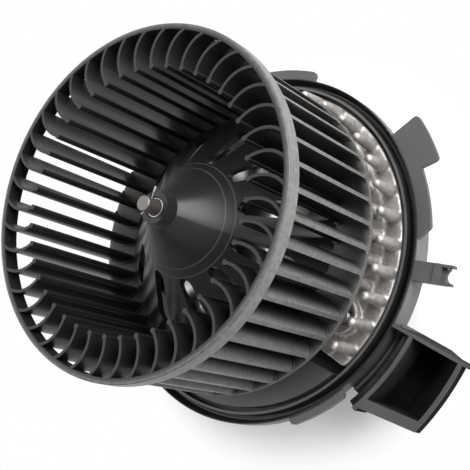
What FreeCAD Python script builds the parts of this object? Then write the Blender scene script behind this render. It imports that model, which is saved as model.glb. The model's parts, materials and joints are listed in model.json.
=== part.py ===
"""Car cabin blower motor: a forward-curved squirrel-cage wheel on a flanged, fan-cooled DC motor.

Frame: millimetres. The Z axis is the shaft, +Z points out of the wheel's inlet, and the origin is on the
axis in the plane of the front edge of the flange's rim, where the motor seats in its casing.
Angles are in degrees, counted from +X towards +Y.
"""
import FreeCAD, Part
import math
import os

OUT_FOLDER = "parts"

# Blower wheel
WHEEL_RADIUS = 80.0
WHEEL_HEIGHT = 75.3
WHEEL_FRONT_Z = 96.5
BAND_HEIGHT = 7.6
BAND_WALL = 2.75
BAND_EDGE_ROUND = 0.7
BLADE_COUNT = 43
BLADE_THICKNESS = 1.37
BLADE_PHASE = 105.8
BEAD_DIAMETER = 2.4
BLADE_INNER_RADIUS = 60.25
# Centre line of a blade's section: its heading from the radius at the bead, then arcs of a radius and a turn
BLADE_HEADING = 18.0
BLADE_ARCS = ((17.0, 33.0), (14.0, 40.0))
BACK_PLATE = 2.2
BACK_PLATE_RADIUS = 76.6
BLADE_ROOTING = 0.6
BLADE_FOOT_EXTRA = 0.8
BLADE_FOOT_HEIGHT = 0.9

# Hub cone of the wheel
BOSS_FACE_RADIUS = 7.4
BOSS_BASE_RADIUS = 8.8
BOSS_DEPTH = 15.2
BOSS_HEIGHT = 5.6
BOSS_RECESS_RADIUS = 4.9
BOSS_RECESS_DEPTH = 1.6
CONE_SLOPE = 1.034
CONE_WALL = 2.2
HUB_SLEEVE_DEPTH = 46.5
SLOT_COUNT = 11
SLOT_PHASE = 92.2
SLOT_START_RADIUS = 27.4
SLOT_END_RADIUS = 50.5
SLOT_INNER_ROUND = 3.3
SLOT_OUTER_ROUND = 4.5

# Shaft
SHAFT_RADIUS = 3.525
SHAFT_TIP_DEPTH = 7.3
SHAFT_END_PLAY = 0.3
SHAFT_CHAMFER = 0.4
RUNNING_CLEARANCE = 0.05

# Wire clip that keeps the wheel on its shaft
CLIP_WIRE = 1.0
CLIP_RING_RADIUS = 4.1
CLIP_RING_START = -160.0
CLIP_RING_END = 150.0
CLIP_TIPS = ((-6.4, -4.7), (-4.1, 9.0))
CLIP_SLOT = 1.3

# Mounting flange: radii that follow the rim are given as steps in from it or out from it
RIM_RADIUS = 88.0
RIM_TOP_Z = -0.5
RIM_WALL = 1.1
RIM_CHAMFER = 1.4
GROOVE_FLOOR_Z = -6.0
FLANGE_BACK_Z = -8.0
FACE_Z = 1.2
FACE_THICKNESS = 2.2
FACE_OUTER_RADIUS = RIM_RADIUS - 8.2
FACE_WALL = 1.6
TROUGH_FLOOR_Z = -5.0
INNER_RIDGE_RADIUS = RIM_RADIUS - 4.5
INNER_RIDGE_WALL = 1.3
SEAT_RIDGE_RADIUS = RIM_RADIUS - 2.5
SEAT_RIDGE_WALL = 0.9
SEAT_RIDGE_Z = -3.8
COLLAR_RADIUS = 46.0
COLLAR_WALL = 2.0
COLLAR_TOP_Z = 8.0
WINDOW_INNER_RADIUS = COLLAR_RADIUS + 8.0
WINDOW_OUTER_RADIUS = FACE_OUTER_RADIUS + 1.1
WINDOW_START_ANGLE = -60.0
WINDOW_END_ANGLE = 92.0
WINDOW_LOW_CORNER = (66.7, -43.9)
WINDOW_LOW_EDGE_ANGLE = -5.4
SKIRT_START = -7.5
SKIRT_END = 24.0
SKIRT_BOTTOM_Z = -12.4
SKIRT_WALL = 2.0
FLANGE_RIB_COUNT = 9
FLANGE_RIB_THICKNESS = 1.8

# Bayonet tabs on the rim: first angle, last angle, reach out from the rim
TAB_THICKNESS = 2.4
TAB_CORNER = 2.2
BAYONET_TABS = ((39.0, 53.5, 15.4), (-54.0, -34.0, 3.6), (91.0, 112.0, 4.8))
LIP_START = 19.5
LIP_REACH = 6.4

# Latch arm on the rim: lengths along the arm, from the rim
LATCH_ANGLE = 8.6
LATCH_WIDTH = 9.4
LATCH_LENGTH = 16.8
LATCH_FORK_LENGTH = 2.6
LATCH_PRONG = 1.3
LATCH_THICKNESS = 4.2
LATCH_TOP_Z = -0.8
LATCH_RIDGE_START = 10.2
LATCH_RIDGE_WIDTH = 2.8
LATCH_RIDGE_HEIGHT = 0.9
LATCH_POCKET_START = 13.4
LATCH_POCKET_END_WALL = 0.4

# Rim seal
SEAL_LIP_TOP_Z = 0.3
SEAL_LIP_THICKNESS = 0.55

# Heat sink
SINK_TOP_Z = 0.0
SINK_INNER_STEP = 0.4
SINK_STEP_RADIUS = 71.2
SINK_EDGE_CHAMFER = 0.6
SINK_OUTER_RADIUS = WINDOW_OUTER_RADIUS - 0.3
SINK_LOW_CORNER = (70.1, -39.3)
SINK_LOW_EDGE_ANGLE = -13.7
SINK_CORNER = 3.0
SINK_END_ANGLE = WINDOW_END_ANGLE - 3.0
SINK_WALL = 3.0
SINK_PLATE = 4.0
PIN_TIP_Z = 16.7
PIN_TIP_RADIUS = 1.6
PIN_BASE_RADIUS = 3.0
PIN_ROUND = 0.8
OUTER_PIN_RADIUS = SINK_OUTER_RADIUS - 3.2
OUTER_PIN_PITCH = 9.78
OUTER_PIN_START = -23.3
OUTER_PIN_COUNT = 12
INNER_PIN_RADIUS = SINK_STEP_RADIUS - 3.0
INNER_PIN_PITCH = 10.05
INNER_PIN_START = -0.4
INNER_PIN_COUNT = 7
INNER_PIN_TIP_Z = 13.0
SINK_BOSS_RADIUS = 9.1
SINK_BOSS_WALL = 1.9
SINK_BOSS_TOP_Z = 5.0
SINK_BOSS_PLACE_RADIUS = WINDOW_INNER_RADIUS + 9.9
SINK_BOSS_ANGLES = (-15.5, 79.0)
SCREW_HEAD_RADIUS = 3.9
SCREW_HEAD_HEIGHT = 2.4
SCREW_SHANK_RADIUS = 1.75
SCREW_DRIVE_RADIUS = 1.6

# Rear cover with motor bowl, electronics pocket, cooling-air duct and scoop
COVER_WALL = 2.2
COVER_PLATE_RADIUS = RIM_RADIUS - 6.0
MOUTH_START = -32.0
FIT_GAP = 0.2
BOWL_RADIUS = COLLAR_RADIUS + 2.6
BOWL_BOTTOM_Z = -44.5
BOWL_EDGE_ROUND = 2.0
POCKET_START = -3.0
POCKET_END = 47.0
POCKET_INNER_RADIUS = BOWL_RADIUS + 3.4
POCKET_OUTER_RADIUS = RIM_RADIUS - 11.0
POCKET_BOTTOM_Z = -23.0
SCOOP_TOP_Z = 1.5
SCOOP_INNER_RADIUS = RIM_RADIUS + 10.4
SCOOP_OUTER_RADIUS = RIM_RADIUS + 39.0
SCOOP_WALL = 2.0
SCOOP_START = -8.2
SCOOP_LOW_Y = -53.8
SCOOP_LOW_WALL = 5.0
DUCT_LOW_STEP = 3.0
SCOOP_STRAIGHT = 5.5
SCOOP_HEEL_RADIUS = RIM_RADIUS + 18.0
SCOOP_LIP_ANGLE = -33.6
SCOOP_PLATE_REACH = 42.0
SCOOP_PLATE_WALL = 1.4
SCOOP_RIM_GAP = 0.6
LEDGE_WIDTH = 3.6
LEDGE_Z = -0.5
WEB_FOOT_Z = -7.4
NOTCH_CORNER_ANGLE = -31.1
DUCT_BOTTOM_Z = -28.0
COVER_SCREW_RADIUS = RIM_RADIUS - 16.0
COVER_SCREW_ANGLES = (-75.0, -130.0, 165.0, 116.0)
COVER_BOSS_RADIUS = 4.6

# Connector
SHROUD_CENTRE = (POCKET_INNER_RADIUS + 5.0, 17.0)
SHROUD_SIZE = (13.6, 25.0, 14.0)
SHROUD_WALL = 1.6
TERMINAL_SIZE = (0.8, 2.8)
TERMINAL_PITCH = 5.4
TERMINAL_COUNT = 4
TERMINAL_SETBACK = 3.0

# Electronics
BOARD_THICKNESS = 1.6
BOARD_GAP = 0.3
TRANSISTOR_SIZE = (15.6, 18.0, 4.8)
TRANSISTOR_PAD = 1.5
TRANSISTOR_ANGLES = (8.0, 34.0)
TRANSISTOR_RADIUS = (POCKET_INNER_RADIUS + POCKET_OUTER_RADIUS) / 2
CAPACITOR_RADIUS = 3.0
CAPACITOR_LENGTH = 18.0
CAPACITOR_ANGLE = 26.0
CAPACITOR_PLACE_RADIUS = POCKET_OUTER_RADIUS - 9.0
CAPACITOR_CHAMFER = 0.8
BOARD_POST_RADIUS = 2.2

# Motor
CAN_RADIUS = 40.0
CAN_WALL = 1.6
CAN_TOP_Z = 40.5
CAN_BOTTOM_Z = -32.5
CAN_SHOULDER = 5.0
NOSE_RADIUS = 9.5
NOSE_HEIGHT = 4.0
BUSH_RADIUS = 7.5
BUSH_LENGTH = 8.0
BUSH_CHAMFER = 0.6
VENT_COUNT = 4
VENT_RADII = (13.0, 21.0)
VENT_WIDTH = 8.0
MAGNET_THICKNESS = 6.2
MAGNET_SPAN = 132.0
MAGNET_Z = (-10.0, 30.0)
AIR_GAP = 0.7
CORE_Z = (-8.0, 28.0)
CORE_SLOTS = 12
CORE_TOOTH_WIDTH = 5.0
CORE_TIP_WALL = 2.2
CORE_TIP_GAP = 2.4
CORE_YOKE_RADIUS = 13.0
WINDING_OVERHANG = 6.5
COMMUTATOR_RADIUS = 11.0
COMMUTATOR_Z = (-29.0, -16.0)
COMMUTATOR_GROOVE = 0.6
CARD_TOP_Z = -17.0
CARD_THICKNESS = 2.0
CARD_HOLE_RADIUS = 13.5
BRUSH_GAP = 0.3
BRUSH_SIZE = (10.0, 5.0, 6.0)
BRUSH_PLAY = 0.1
HOLDER_WALL = 0.7
HOLDER_START_RADIUS = 13.5
SPRING_LENGTH = 10.0
SPRING_RADIUS = 1.9
SPRING_WIRE = 0.6
SPRING_TURNS = 5
CHOKE_RADIUS = 3.2
CHOKE_LENGTH = 15.0
CHOKE_PLACE_RADIUS = 24.0
CHOKE_CHAMFER = 0.8
END_PLATE_THICKNESS = 1.5
REAR_CUP_RADIUS = 9.0
REAR_CUP_DEPTH = 7.0
DAMPER_ANGLES = (30.0, 150.0, 270.0)
DAMPER_SPAN = 32.0
DAMPER_Z = (-6.0, 6.0)
WASHER_RADIUS = 6.0
WASHER_THICKNESS = 0.8

# Worked out from the sizes above
WHEEL_BACK_Z = WHEEL_FRONT_Z - WHEEL_HEIGHT
BAND_INNER_RADIUS = WHEEL_RADIUS - BAND_WALL
PLATE_TOP_Z = WHEEL_BACK_Z + BACK_PLATE
BOSS_FACE_Z = WHEEL_FRONT_Z - BOSS_DEPTH
BOSS_BASE_Z = BOSS_FACE_Z - BOSS_HEIGHT
SHAFT_TOP_Z = WHEEL_FRONT_Z - SHAFT_TIP_DEPTH
CAN_BORE = CAN_RADIUS - CAN_WALL
CORE_RADIUS = CAN_BORE - MAGNET_THICKNESS - AIR_GAP
BEARING_BORE = SHAFT_RADIUS + RUNNING_CLEARANCE
COVER_PLATE_BOTTOM_Z = FLANGE_BACK_Z - COVER_WALL
BOWL_BORE = BOWL_RADIUS - COVER_WALL
BOARD_TOP_Z = FLANGE_BACK_Z - TRANSISTOR_SIZE[2]
CARD_BOTTOM_Z = CARD_TOP_Z - CARD_THICKNESS
BRUSH_TOP_Z = CARD_BOTTOM_Z - HOLDER_WALL - BRUSH_PLAY
BRUSH_START_RADIUS = COMMUTATOR_RADIUS + BRUSH_GAP
SPRING_START_RADIUS = BRUSH_START_RADIUS + BRUSH_SIZE[0]
SPRING_END_RADIUS = SPRING_START_RADIUS + SPRING_LENGTH
END_PLATE_TOP_Z = CAN_BOTTOM_Z
REAR_CUP_BOTTOM_Z = END_PLATE_TOP_Z - REAR_CUP_DEPTH
SHAFT_BOTTOM_Z = REAR_CUP_BOTTOM_Z + END_PLATE_THICKNESS + SHAFT_END_PLAY

ORIGIN = FreeCAD.Vector(0, 0, 0)
Z_AXIS = FreeCAD.Vector(0, 0, 1)


def vec(x, y, z=0.0):
    return FreeCAD.Vector(x, y, z)


def polar(radius, angle, z=0.0):
    """A point at a radius and an angle about the shaft."""
    return vec(radius * math.cos(math.radians(angle)), radius * math.sin(math.radians(angle)), z)


def cylinder(radius, z_low, z_high, centre=(0.0, 0.0)):
    return Part.makeCylinder(radius, z_high - z_low, vec(centre[0], centre[1], z_low))


def tube(inner, outer, z_low, z_high):
    return cylinder(outer, z_low, z_high).cut(cylinder(inner, z_low, z_high))


def box(low, high):
    """A box between two opposite corners."""
    return Part.makeBox(high[0] - low[0], high[1] - low[1], high[2] - low[2], vec(*low))


def turned(shape, angle, centre=ORIGIN, axis=Z_AXIS):
    """A copy of a shape, turned about an axis."""
    copy = shape.copy()
    copy.rotate(centre, axis, angle)
    return copy


def revolved(profile, start=0.0, sweep=360.0):
    """The solid that a closed outline of (radius, z) points sweeps about the shaft."""
    points = [vec(r, 0.0, z) for r, z in profile]
    face = Part.Face(Part.makePolygon(points + points[:1]))
    return turned(face.revolve(ORIGIN, Z_AXIS, sweep), start)


def prism(outline, z_low, z_high):
    """A closed outline of (x, y) points, raised from one height to another."""
    points = [vec(x, y, z_low) for x, y in outline]
    return Part.Face(Part.makePolygon(points + points[:1])).extrude(vec(0, 0, z_high - z_low))


def sector(inner, outer, start, end, z_low, z_high):
    """A piece of a ring between two angles."""
    return revolved(((inner, z_low), (outer, z_low), (outer, z_high), (inner, z_high)), start, end - start)


def around(shape, count, phase=0.0):
    """Copies of a shape, evenly spaced about the shaft."""
    return [turned(shape, phase + 360.0 * i / count) for i in range(count)]


def joined(shapes):
    """One solid from shapes that overlap or share faces."""
    return shapes[0].multiFuse(list(shapes[1:])).removeSplitter()


def half_plane(point, angle, side, z_low, z_high, reach=200.0):
    """A thick half plane beside a line through a point: side is +1 for its left and -1 for its right."""
    block = box((-reach, 0, z_low), (reach, reach, z_high))
    if side < 0:
        block = box((-reach, -reach, z_low), (reach, 0, z_high))
    block = turned(block, angle)
    block.translate(vec(point[0], point[1]))
    return block


def edges_on_circle(shape, radius, z, reach=0.01):
    """The edges of a shape that run round the shaft at a radius and a height."""
    found = []
    for edge in shape.Edges:
        if abs(edge.BoundBox.ZMin - z) > reach or abs(edge.BoundBox.ZMax - z) > reach:
            continue
        if all(abs(math.hypot(v.X, v.Y) - radius) < reach for v in edge.Vertexes):
            found.append(edge)
    return found


def cone_z(radius):
    """Height of the hub cone's outer surface at a radius."""
    return BOSS_BASE_Z - (radius - BOSS_BASE_RADIUS) * CONE_SLOPE


def blade_section(thickness, bead, z):
    """Face of one blade's section: arcs that run on smoothly, with a round bead at the inner end."""
    at = vec(BLADE_INNER_RADIUS, 0, z)
    heading = BLADE_HEADING
    sides = {1: [], -1: []}
    corners = []
    for radius, turn in BLADE_ARCS:
        centre = at + polar(radius, heading - 90)
        for side, edges in sides.items():
            reach = radius + side * thickness / 2
            first, middle, last = [centre + polar(reach, heading + 90 - turn * share)
                                   for share in (0.0, 0.5, 1.0)]
            edges.append(Part.Arc(first, middle, last).toShape())
            corners += [first, last]
        heading -= turn
        at = centre + polar(radius, heading + 90)
    ends = [Part.makeLine(corners[0], corners[2]), Part.makeLine(corners[-3], corners[-1])]
    blade_face = Part.Face(Part.Wire(Part.sortEdges(sides[1] + sides[-1] + ends)[0]))
    tip = Part.Face(Part.Wire(Part.makeCircle(bead / 2, vec(BLADE_INNER_RADIUS, 0, z))))
    return blade_face.fuse(tip).removeSplitter()


def blade():
    """One blade over the whole height of the wheel, with the thicker foot where it meets the back plate."""
    body = blade_section(BLADE_THICKNESS, BEAD_DIAMETER, WHEEL_BACK_Z).extrude(vec(0, 0, WHEEL_HEIGHT))
    extra = 2 * BLADE_FOOT_EXTRA
    foot = blade_section(BLADE_THICKNESS + extra, BEAD_DIAMETER + extra, WHEEL_BACK_Z)
    return body.fuse(foot.extrude(vec(0, 0, BACK_PLATE + BLADE_FOOT_HEIGHT)))


def hub_slot():
    """Cutter for one opening in the cone: two rounds on a radial line and the sides that touch both."""
    near = SLOT_START_RADIUS + SLOT_INNER_ROUND
    far = SLOT_END_RADIUS - SLOT_OUTER_ROUND
    lean = math.asin((SLOT_OUTER_ROUND - SLOT_INNER_ROUND) / (far - near))
    corners = []
    for centre, radius, side in ((near, SLOT_INNER_ROUND, 1), (far, SLOT_OUTER_ROUND, 1),
                                 (far, SLOT_OUTER_ROUND, -1), (near, SLOT_INNER_ROUND, -1)):
        corners.append((centre - radius * math.sin(lean), side * radius * math.cos(lean)))
    low, high = WHEEL_BACK_Z, BOSS_FACE_Z
    inner_round = cylinder(SLOT_INNER_ROUND, low, high, (near, 0))
    outer_round = cylinder(SLOT_OUTER_ROUND, low, high, (far, 0))
    return joined([prism(corners, low, high), inner_round, outer_round])


def impeller():
    """Blower wheel, moulded in one piece: band, blades, back plate and open conical hub."""
    wall_drop = CONE_WALL * math.hypot(1.0, CONE_SLOPE)
    sleeve_z = WHEEL_FRONT_Z - HUB_SLEEVE_DEPTH
    rim_radius = BOSS_BASE_RADIUS + (BOSS_BASE_Z - PLATE_TOP_Z) / CONE_SLOPE
    under_radius = rim_radius - CONE_WALL
    hub = revolved((
        (SHAFT_RADIUS, BOSS_FACE_Z), (BOSS_FACE_RADIUS, BOSS_FACE_Z), (BOSS_BASE_RADIUS, BOSS_BASE_Z),
        (rim_radius, PLATE_TOP_Z), (BACK_PLATE_RADIUS, PLATE_TOP_Z), (BACK_PLATE_RADIUS, WHEEL_BACK_Z),
        (under_radius, WHEEL_BACK_Z), (BOSS_BASE_RADIUS, cone_z(BOSS_BASE_RADIUS) - wall_drop),
        (BOSS_BASE_RADIUS, sleeve_z), (SHAFT_RADIUS, sleeve_z)))
    recess = tube(SHAFT_RADIUS, BOSS_RECESS_RADIUS, BOSS_FACE_Z - BOSS_RECESS_DEPTH, BOSS_FACE_Z)
    hub = hub.cut(recess).cut(Part.makeCompound(around(hub_slot(), SLOT_COUNT, SLOT_PHASE)))
    hub = hub.cut(clip_slots())
    band = tube(BAND_INNER_RADIUS, WHEEL_RADIUS, WHEEL_FRONT_Z - BAND_HEIGHT, WHEEL_FRONT_Z)
    blades = around(blade(), BLADE_COUNT, BLADE_PHASE)
    band_back = WHEEL_FRONT_Z - BAND_HEIGHT
    rooted = BAND_INNER_RADIUS + BLADE_ROOTING
    inside = revolved((
        (0.0, WHEEL_BACK_Z), (BACK_PLATE_RADIUS, WHEEL_BACK_Z), (BACK_PLATE_RADIUS, PLATE_TOP_Z),
        (BAND_INNER_RADIUS, band_back), (rooted, band_back + BLADE_ROOTING), (rooted, WHEEL_FRONT_Z),
        (0.0, WHEEL_FRONT_Z)))
    blades = [b.common(inside) for b in blades]
    band_edges = edges_on_circle(band, WHEEL_RADIUS, WHEEL_FRONT_Z)
    band_edges += edges_on_circle(band, WHEEL_RADIUS, WHEEL_FRONT_Z - BAND_HEIGHT)
    band = band.makeFillet(BAND_EDGE_ROUND, band_edges)
    return joined([hub, band] + blades)


def clip_legs():
    """Where each straight leg of the clip leaves its ring, and its tip."""
    z = BOSS_FACE_Z - BOSS_RECESS_DEPTH / 2
    starts = [polar(CLIP_RING_RADIUS, angle, z) for angle in (CLIP_RING_START, CLIP_RING_END)]
    return [(start, vec(x, y, z)) for start, (x, y) in zip(starts, CLIP_TIPS)]


def clip_slots():
    """Cutter for the two slots in the boss's rim that the clip's legs pass."""
    slots = []
    for start, tip in clip_legs():
        along = math.degrees(math.atan2(tip.y - start.y, tip.x - start.x))
        length = (tip - start).Length + CLIP_WIRE
        slot = box((0.0, -CLIP_SLOT / 2, 0.0), (length, CLIP_SLOT / 2, BOSS_RECESS_DEPTH))
        slot = turned(slot, along)
        slot.translate(vec(start.x, start.y, BOSS_FACE_Z - BOSS_RECESS_DEPTH))
        slots.append(slot)
    return Part.makeCompound(slots)


def shaft_clip():
    """Wire ring round the shaft in the boss's recess, with two legs that pass out through its rim."""
    (start, first_tip), (end, second_tip) = clip_legs()
    profile = Part.Face(Part.Wire(Part.makeCircle(CLIP_WIRE / 2, start, polar(1.0, CLIP_RING_START + 90.0))))
    ring = profile.revolve(vec(0, 0, start.z), Z_AXIS, CLIP_RING_END - CLIP_RING_START)
    legs = [Part.makeCylinder(CLIP_WIRE / 2, (tip - foot).Length, foot, tip - foot)
            for foot, tip in ((start, first_tip), (end, second_tip))]
    elbows = [Part.makeSphere(CLIP_WIRE / 2, foot) for foot in (start, end)]
    return joined([ring] + legs + elbows)


def shaft():
    """Motor shaft with chamfered ends."""
    body = cylinder(SHAFT_RADIUS, SHAFT_BOTTOM_Z, SHAFT_TOP_Z)
    ends = [e for e in body.Edges if e.Length < 7 * SHAFT_RADIUS and len(e.Vertexes) == 1]
    return body.makeChamfer(SHAFT_CHAMFER, ends)


def window_cutter():
    """The opening in the flange's face that the heat sink's pins stand in, with a straight lower end."""
    low, high = FLANGE_BACK_Z, FACE_Z + 1
    ring = sector(WINDOW_INNER_RADIUS, WINDOW_OUTER_RADIUS, WINDOW_START_ANGLE, WINDOW_END_ANGLE, low, high)
    return ring.cut(half_plane(WINDOW_LOW_CORNER, WINDOW_LOW_EDGE_ANGLE, -1, low, high))


def bayonet_tab(start, end, reach):
    """A flat tab on the rim, with its outer corners rounded."""
    low = RIM_TOP_Z - TAB_THICKNESS
    outer = RIM_RADIUS + reach
    tab = sector(RIM_RADIUS - RIM_WALL, outer, start, end, low, RIM_TOP_Z)
    corners = [e for e in tab.Edges if abs(e.Length - TAB_THICKNESS) < 0.01
               and math.hypot(e.Vertexes[0].X, e.Vertexes[0].Y) > outer - 0.1]
    return tab.makeFillet(min(TAB_CORNER, reach * 0.8), corners)


def locking_lip():
    """The long low ramp beside the first tab, with a slanting end."""
    low = RIM_TOP_Z - TAB_THICKNESS
    outer = RIM_RADIUS + LIP_REACH
    lip = sector(RIM_RADIUS - RIM_WALL, outer, LIP_START - 2.0, BAYONET_TABS[0][0] + 1.0, low, RIM_TOP_Z)
    foot = polar(RIM_RADIUS, LIP_START - 1.5)
    top = polar(outer, LIP_START + 1.6)
    slant = math.degrees(math.atan2(top.y - foot.y, top.x - foot.x))
    lip = lip.cut(half_plane((foot.x, foot.y), slant, -1, low - 1, RIM_TOP_Z + 1))
    corner = [e for e in lip.Edges if abs(e.Length - TAB_THICKNESS) < 0.01
              and (vec(e.Vertexes[0].X, e.Vertexes[0].Y) - top).Length < 1.0]
    return lip.makeFillet(TAB_CORNER, corner)


def latch_arm():
    """Springy arm with a ridge, a pocket and a forked end, built along +X and turned to its place."""
    half = LATCH_WIDTH / 2
    low = LATCH_TOP_Z - LATCH_THICKNESS
    end = RIM_RADIUS + LATCH_LENGTH
    arm = box((RIM_RADIUS - RIM_WALL, -half, low), (end, half, LATCH_TOP_Z))
    prongs = [box((end - 1, y, low + 1.0), (end + LATCH_FORK_LENGTH, y + LATCH_PRONG, LATCH_TOP_Z))
              for y in (-half, half - LATCH_PRONG)]
    ridge_start = RIM_RADIUS + LATCH_RIDGE_START
    ridge = box((ridge_start, -half, LATCH_TOP_Z - 0.5),
                (ridge_start + LATCH_RIDGE_WIDTH, half, LATCH_TOP_Z + LATCH_RIDGE_HEIGHT))
    pocket = box((RIM_RADIUS + LATCH_POCKET_START, -half + LATCH_PRONG, LATCH_TOP_Z - LATCH_THICKNESS * 0.6),
                 (end - LATCH_POCKET_END_WALL, half - LATCH_PRONG, LATCH_TOP_Z + 1))
    bite = cylinder(half - LATCH_PRONG, low - 1, LATCH_TOP_Z + 1, (end + half - 2 * LATCH_PRONG, 0))
    return turned(joined([arm, ridge] + prongs).cut(pocket).cut(bite), LATCH_ANGLE)


def cover_screw_places(z):
    return [polar(COVER_SCREW_RADIUS, angle, z) for angle in COVER_SCREW_ANGLES]


def mounting_flange():
    """Front moulding: face, seal groove, rim wall, bayonet tabs, latch, motor collar and ribs."""
    ridge_inner = INNER_RIDGE_RADIUS - INNER_RIDGE_WALL
    seat_inner = SEAT_RIDGE_RADIUS - SEAT_RIDGE_WALL
    rim_inner = RIM_RADIUS - RIM_WALL
    face_back = FACE_Z - FACE_THICKNESS
    face_inner = FACE_OUTER_RADIUS - FACE_WALL
    collar_inner = COLLAR_RADIUS - COLLAR_WALL
    body = revolved((
        (collar_inner, COLLAR_TOP_Z), (COLLAR_RADIUS, COLLAR_TOP_Z), (COLLAR_RADIUS, FACE_Z),
        (FACE_OUTER_RADIUS, FACE_Z), (FACE_OUTER_RADIUS, TROUGH_FLOOR_Z), (ridge_inner, TROUGH_FLOOR_Z),
        (ridge_inner, FACE_Z), (INNER_RIDGE_RADIUS, FACE_Z), (INNER_RIDGE_RADIUS, GROOVE_FLOOR_Z),
        (seat_inner, GROOVE_FLOOR_Z), (seat_inner, SEAT_RIDGE_Z), (SEAT_RIDGE_RADIUS, SEAT_RIDGE_Z),
        (SEAT_RIDGE_RADIUS, GROOVE_FLOOR_Z), (rim_inner, GROOVE_FLOOR_Z), (rim_inner, RIM_TOP_Z),
        (RIM_RADIUS, RIM_TOP_Z), (RIM_RADIUS, FLANGE_BACK_Z + RIM_CHAMFER),
        (RIM_RADIUS - RIM_CHAMFER, FLANGE_BACK_Z), (face_inner, FLANGE_BACK_Z), (face_inner, face_back),
        (COLLAR_RADIUS, face_back), (COLLAR_RADIUS, FLANGE_BACK_Z), (collar_inner, FLANGE_BACK_Z)))
    rib = box((COLLAR_RADIUS - 0.5, -FLANGE_RIB_THICKNESS / 2, FLANGE_BACK_Z),
              (FACE_OUTER_RADIUS - 1.0, FLANGE_RIB_THICKNESS / 2, face_back + 0.5))
    ribs = [turned(rib, 100.0 + 24.0 * i) for i in range(FLANGE_RIB_COUNT)]
    places = cover_screw_places(0)
    bosses = [cylinder(COVER_BOSS_RADIUS, FLANGE_BACK_Z, face_back + 0.5, (p.x, p.y)) for p in places]
    body = joined([body] + ribs + bosses)
    body = body.cut(window_cutter())
    rail = sector(WINDOW_INNER_RADIUS - FACE_WALL, WINDOW_INNER_RADIUS, WINDOW_START_ANGLE, WINDOW_END_ANGLE,
                  FLANGE_BACK_Z, face_back + 0.5)
    skirt = sector(RIM_RADIUS - SKIRT_WALL, RIM_RADIUS, SKIRT_START, SKIRT_END, SKIRT_BOTTOM_Z,
                   GROOVE_FLOOR_Z)
    tabs = [bayonet_tab(*tab) for tab in BAYONET_TABS]
    for piece in [rail, skirt, locking_lip(), latch_arm()] + tabs:
        body = body.fuse(piece)
    holes = [cylinder(SCREW_SHANK_RADIUS, FLANGE_BACK_Z, face_back, (p.x, p.y)) for p in places]
    return body.cut(Part.makeCompound(holes))


def rim_seal():
    """Rubber seal in the flange's groove, with a thin lip that flares out to the rim."""
    rim_inner = RIM_RADIUS - RIM_WALL
    lip_root = SEAT_RIDGE_Z - 0.2
    lip_inner = RIM_RADIUS - SEAL_LIP_THICKNESS
    return revolved((
        (SEAT_RIDGE_RADIUS, GROOVE_FLOOR_Z), (rim_inner, GROOVE_FLOOR_Z), (rim_inner, RIM_TOP_Z),
        (RIM_RADIUS, RIM_TOP_Z), (RIM_RADIUS, SEAL_LIP_TOP_Z), (lip_inner, SEAL_LIP_TOP_Z),
        (SEAT_RIDGE_RADIUS, lip_root)))


def sink_pin(radius, angle, tip_z):
    """One tapered cooling pin with a blunted tip."""
    foot = polar(radius, angle, SINK_TOP_Z - 0.5)
    height = tip_z - foot.z
    pin = Part.makeCone(PIN_BASE_RADIUS, PIN_TIP_RADIUS, height, foot)
    tip = [e for e in pin.Edges if len(e.Vertexes) == 1 and abs(e.Vertexes[0].Z - tip_z) < 0.01]
    return pin.makeChamfer(PIN_ROUND, tip)


def sink_screw_places():
    """Middles of the round bosses that the heat sink's screws go through."""
    return [polar(SINK_BOSS_PLACE_RADIUS, angle) for angle in SINK_BOSS_ANGLES]


def sink_recess():
    """Hollow under the heat sink's plate, with pads left standing where the transistors touch it."""
    low, high = FLANGE_BACK_Z, SINK_TOP_Z - SINK_PLATE
    inner, outer = WINDOW_INNER_RADIUS + SINK_WALL, SINK_OUTER_RADIUS - SINK_WALL
    hollow = sector(inner, outer, POCKET_START, POCKET_END, low, high)
    wide, long, _ = TRANSISTOR_SIZE
    near, far = [TRANSISTOR_RADIUS + side * (long / 2 + TRANSISTOR_PAD) for side in (-1, 1)]
    half = wide / 2 + TRANSISTOR_PAD
    pads = [turned(box((near, -half, low), (far, half, high)), angle) for angle in TRANSISTOR_ANGLES]
    return hollow.cut(Part.makeCompound(pads))


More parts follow.
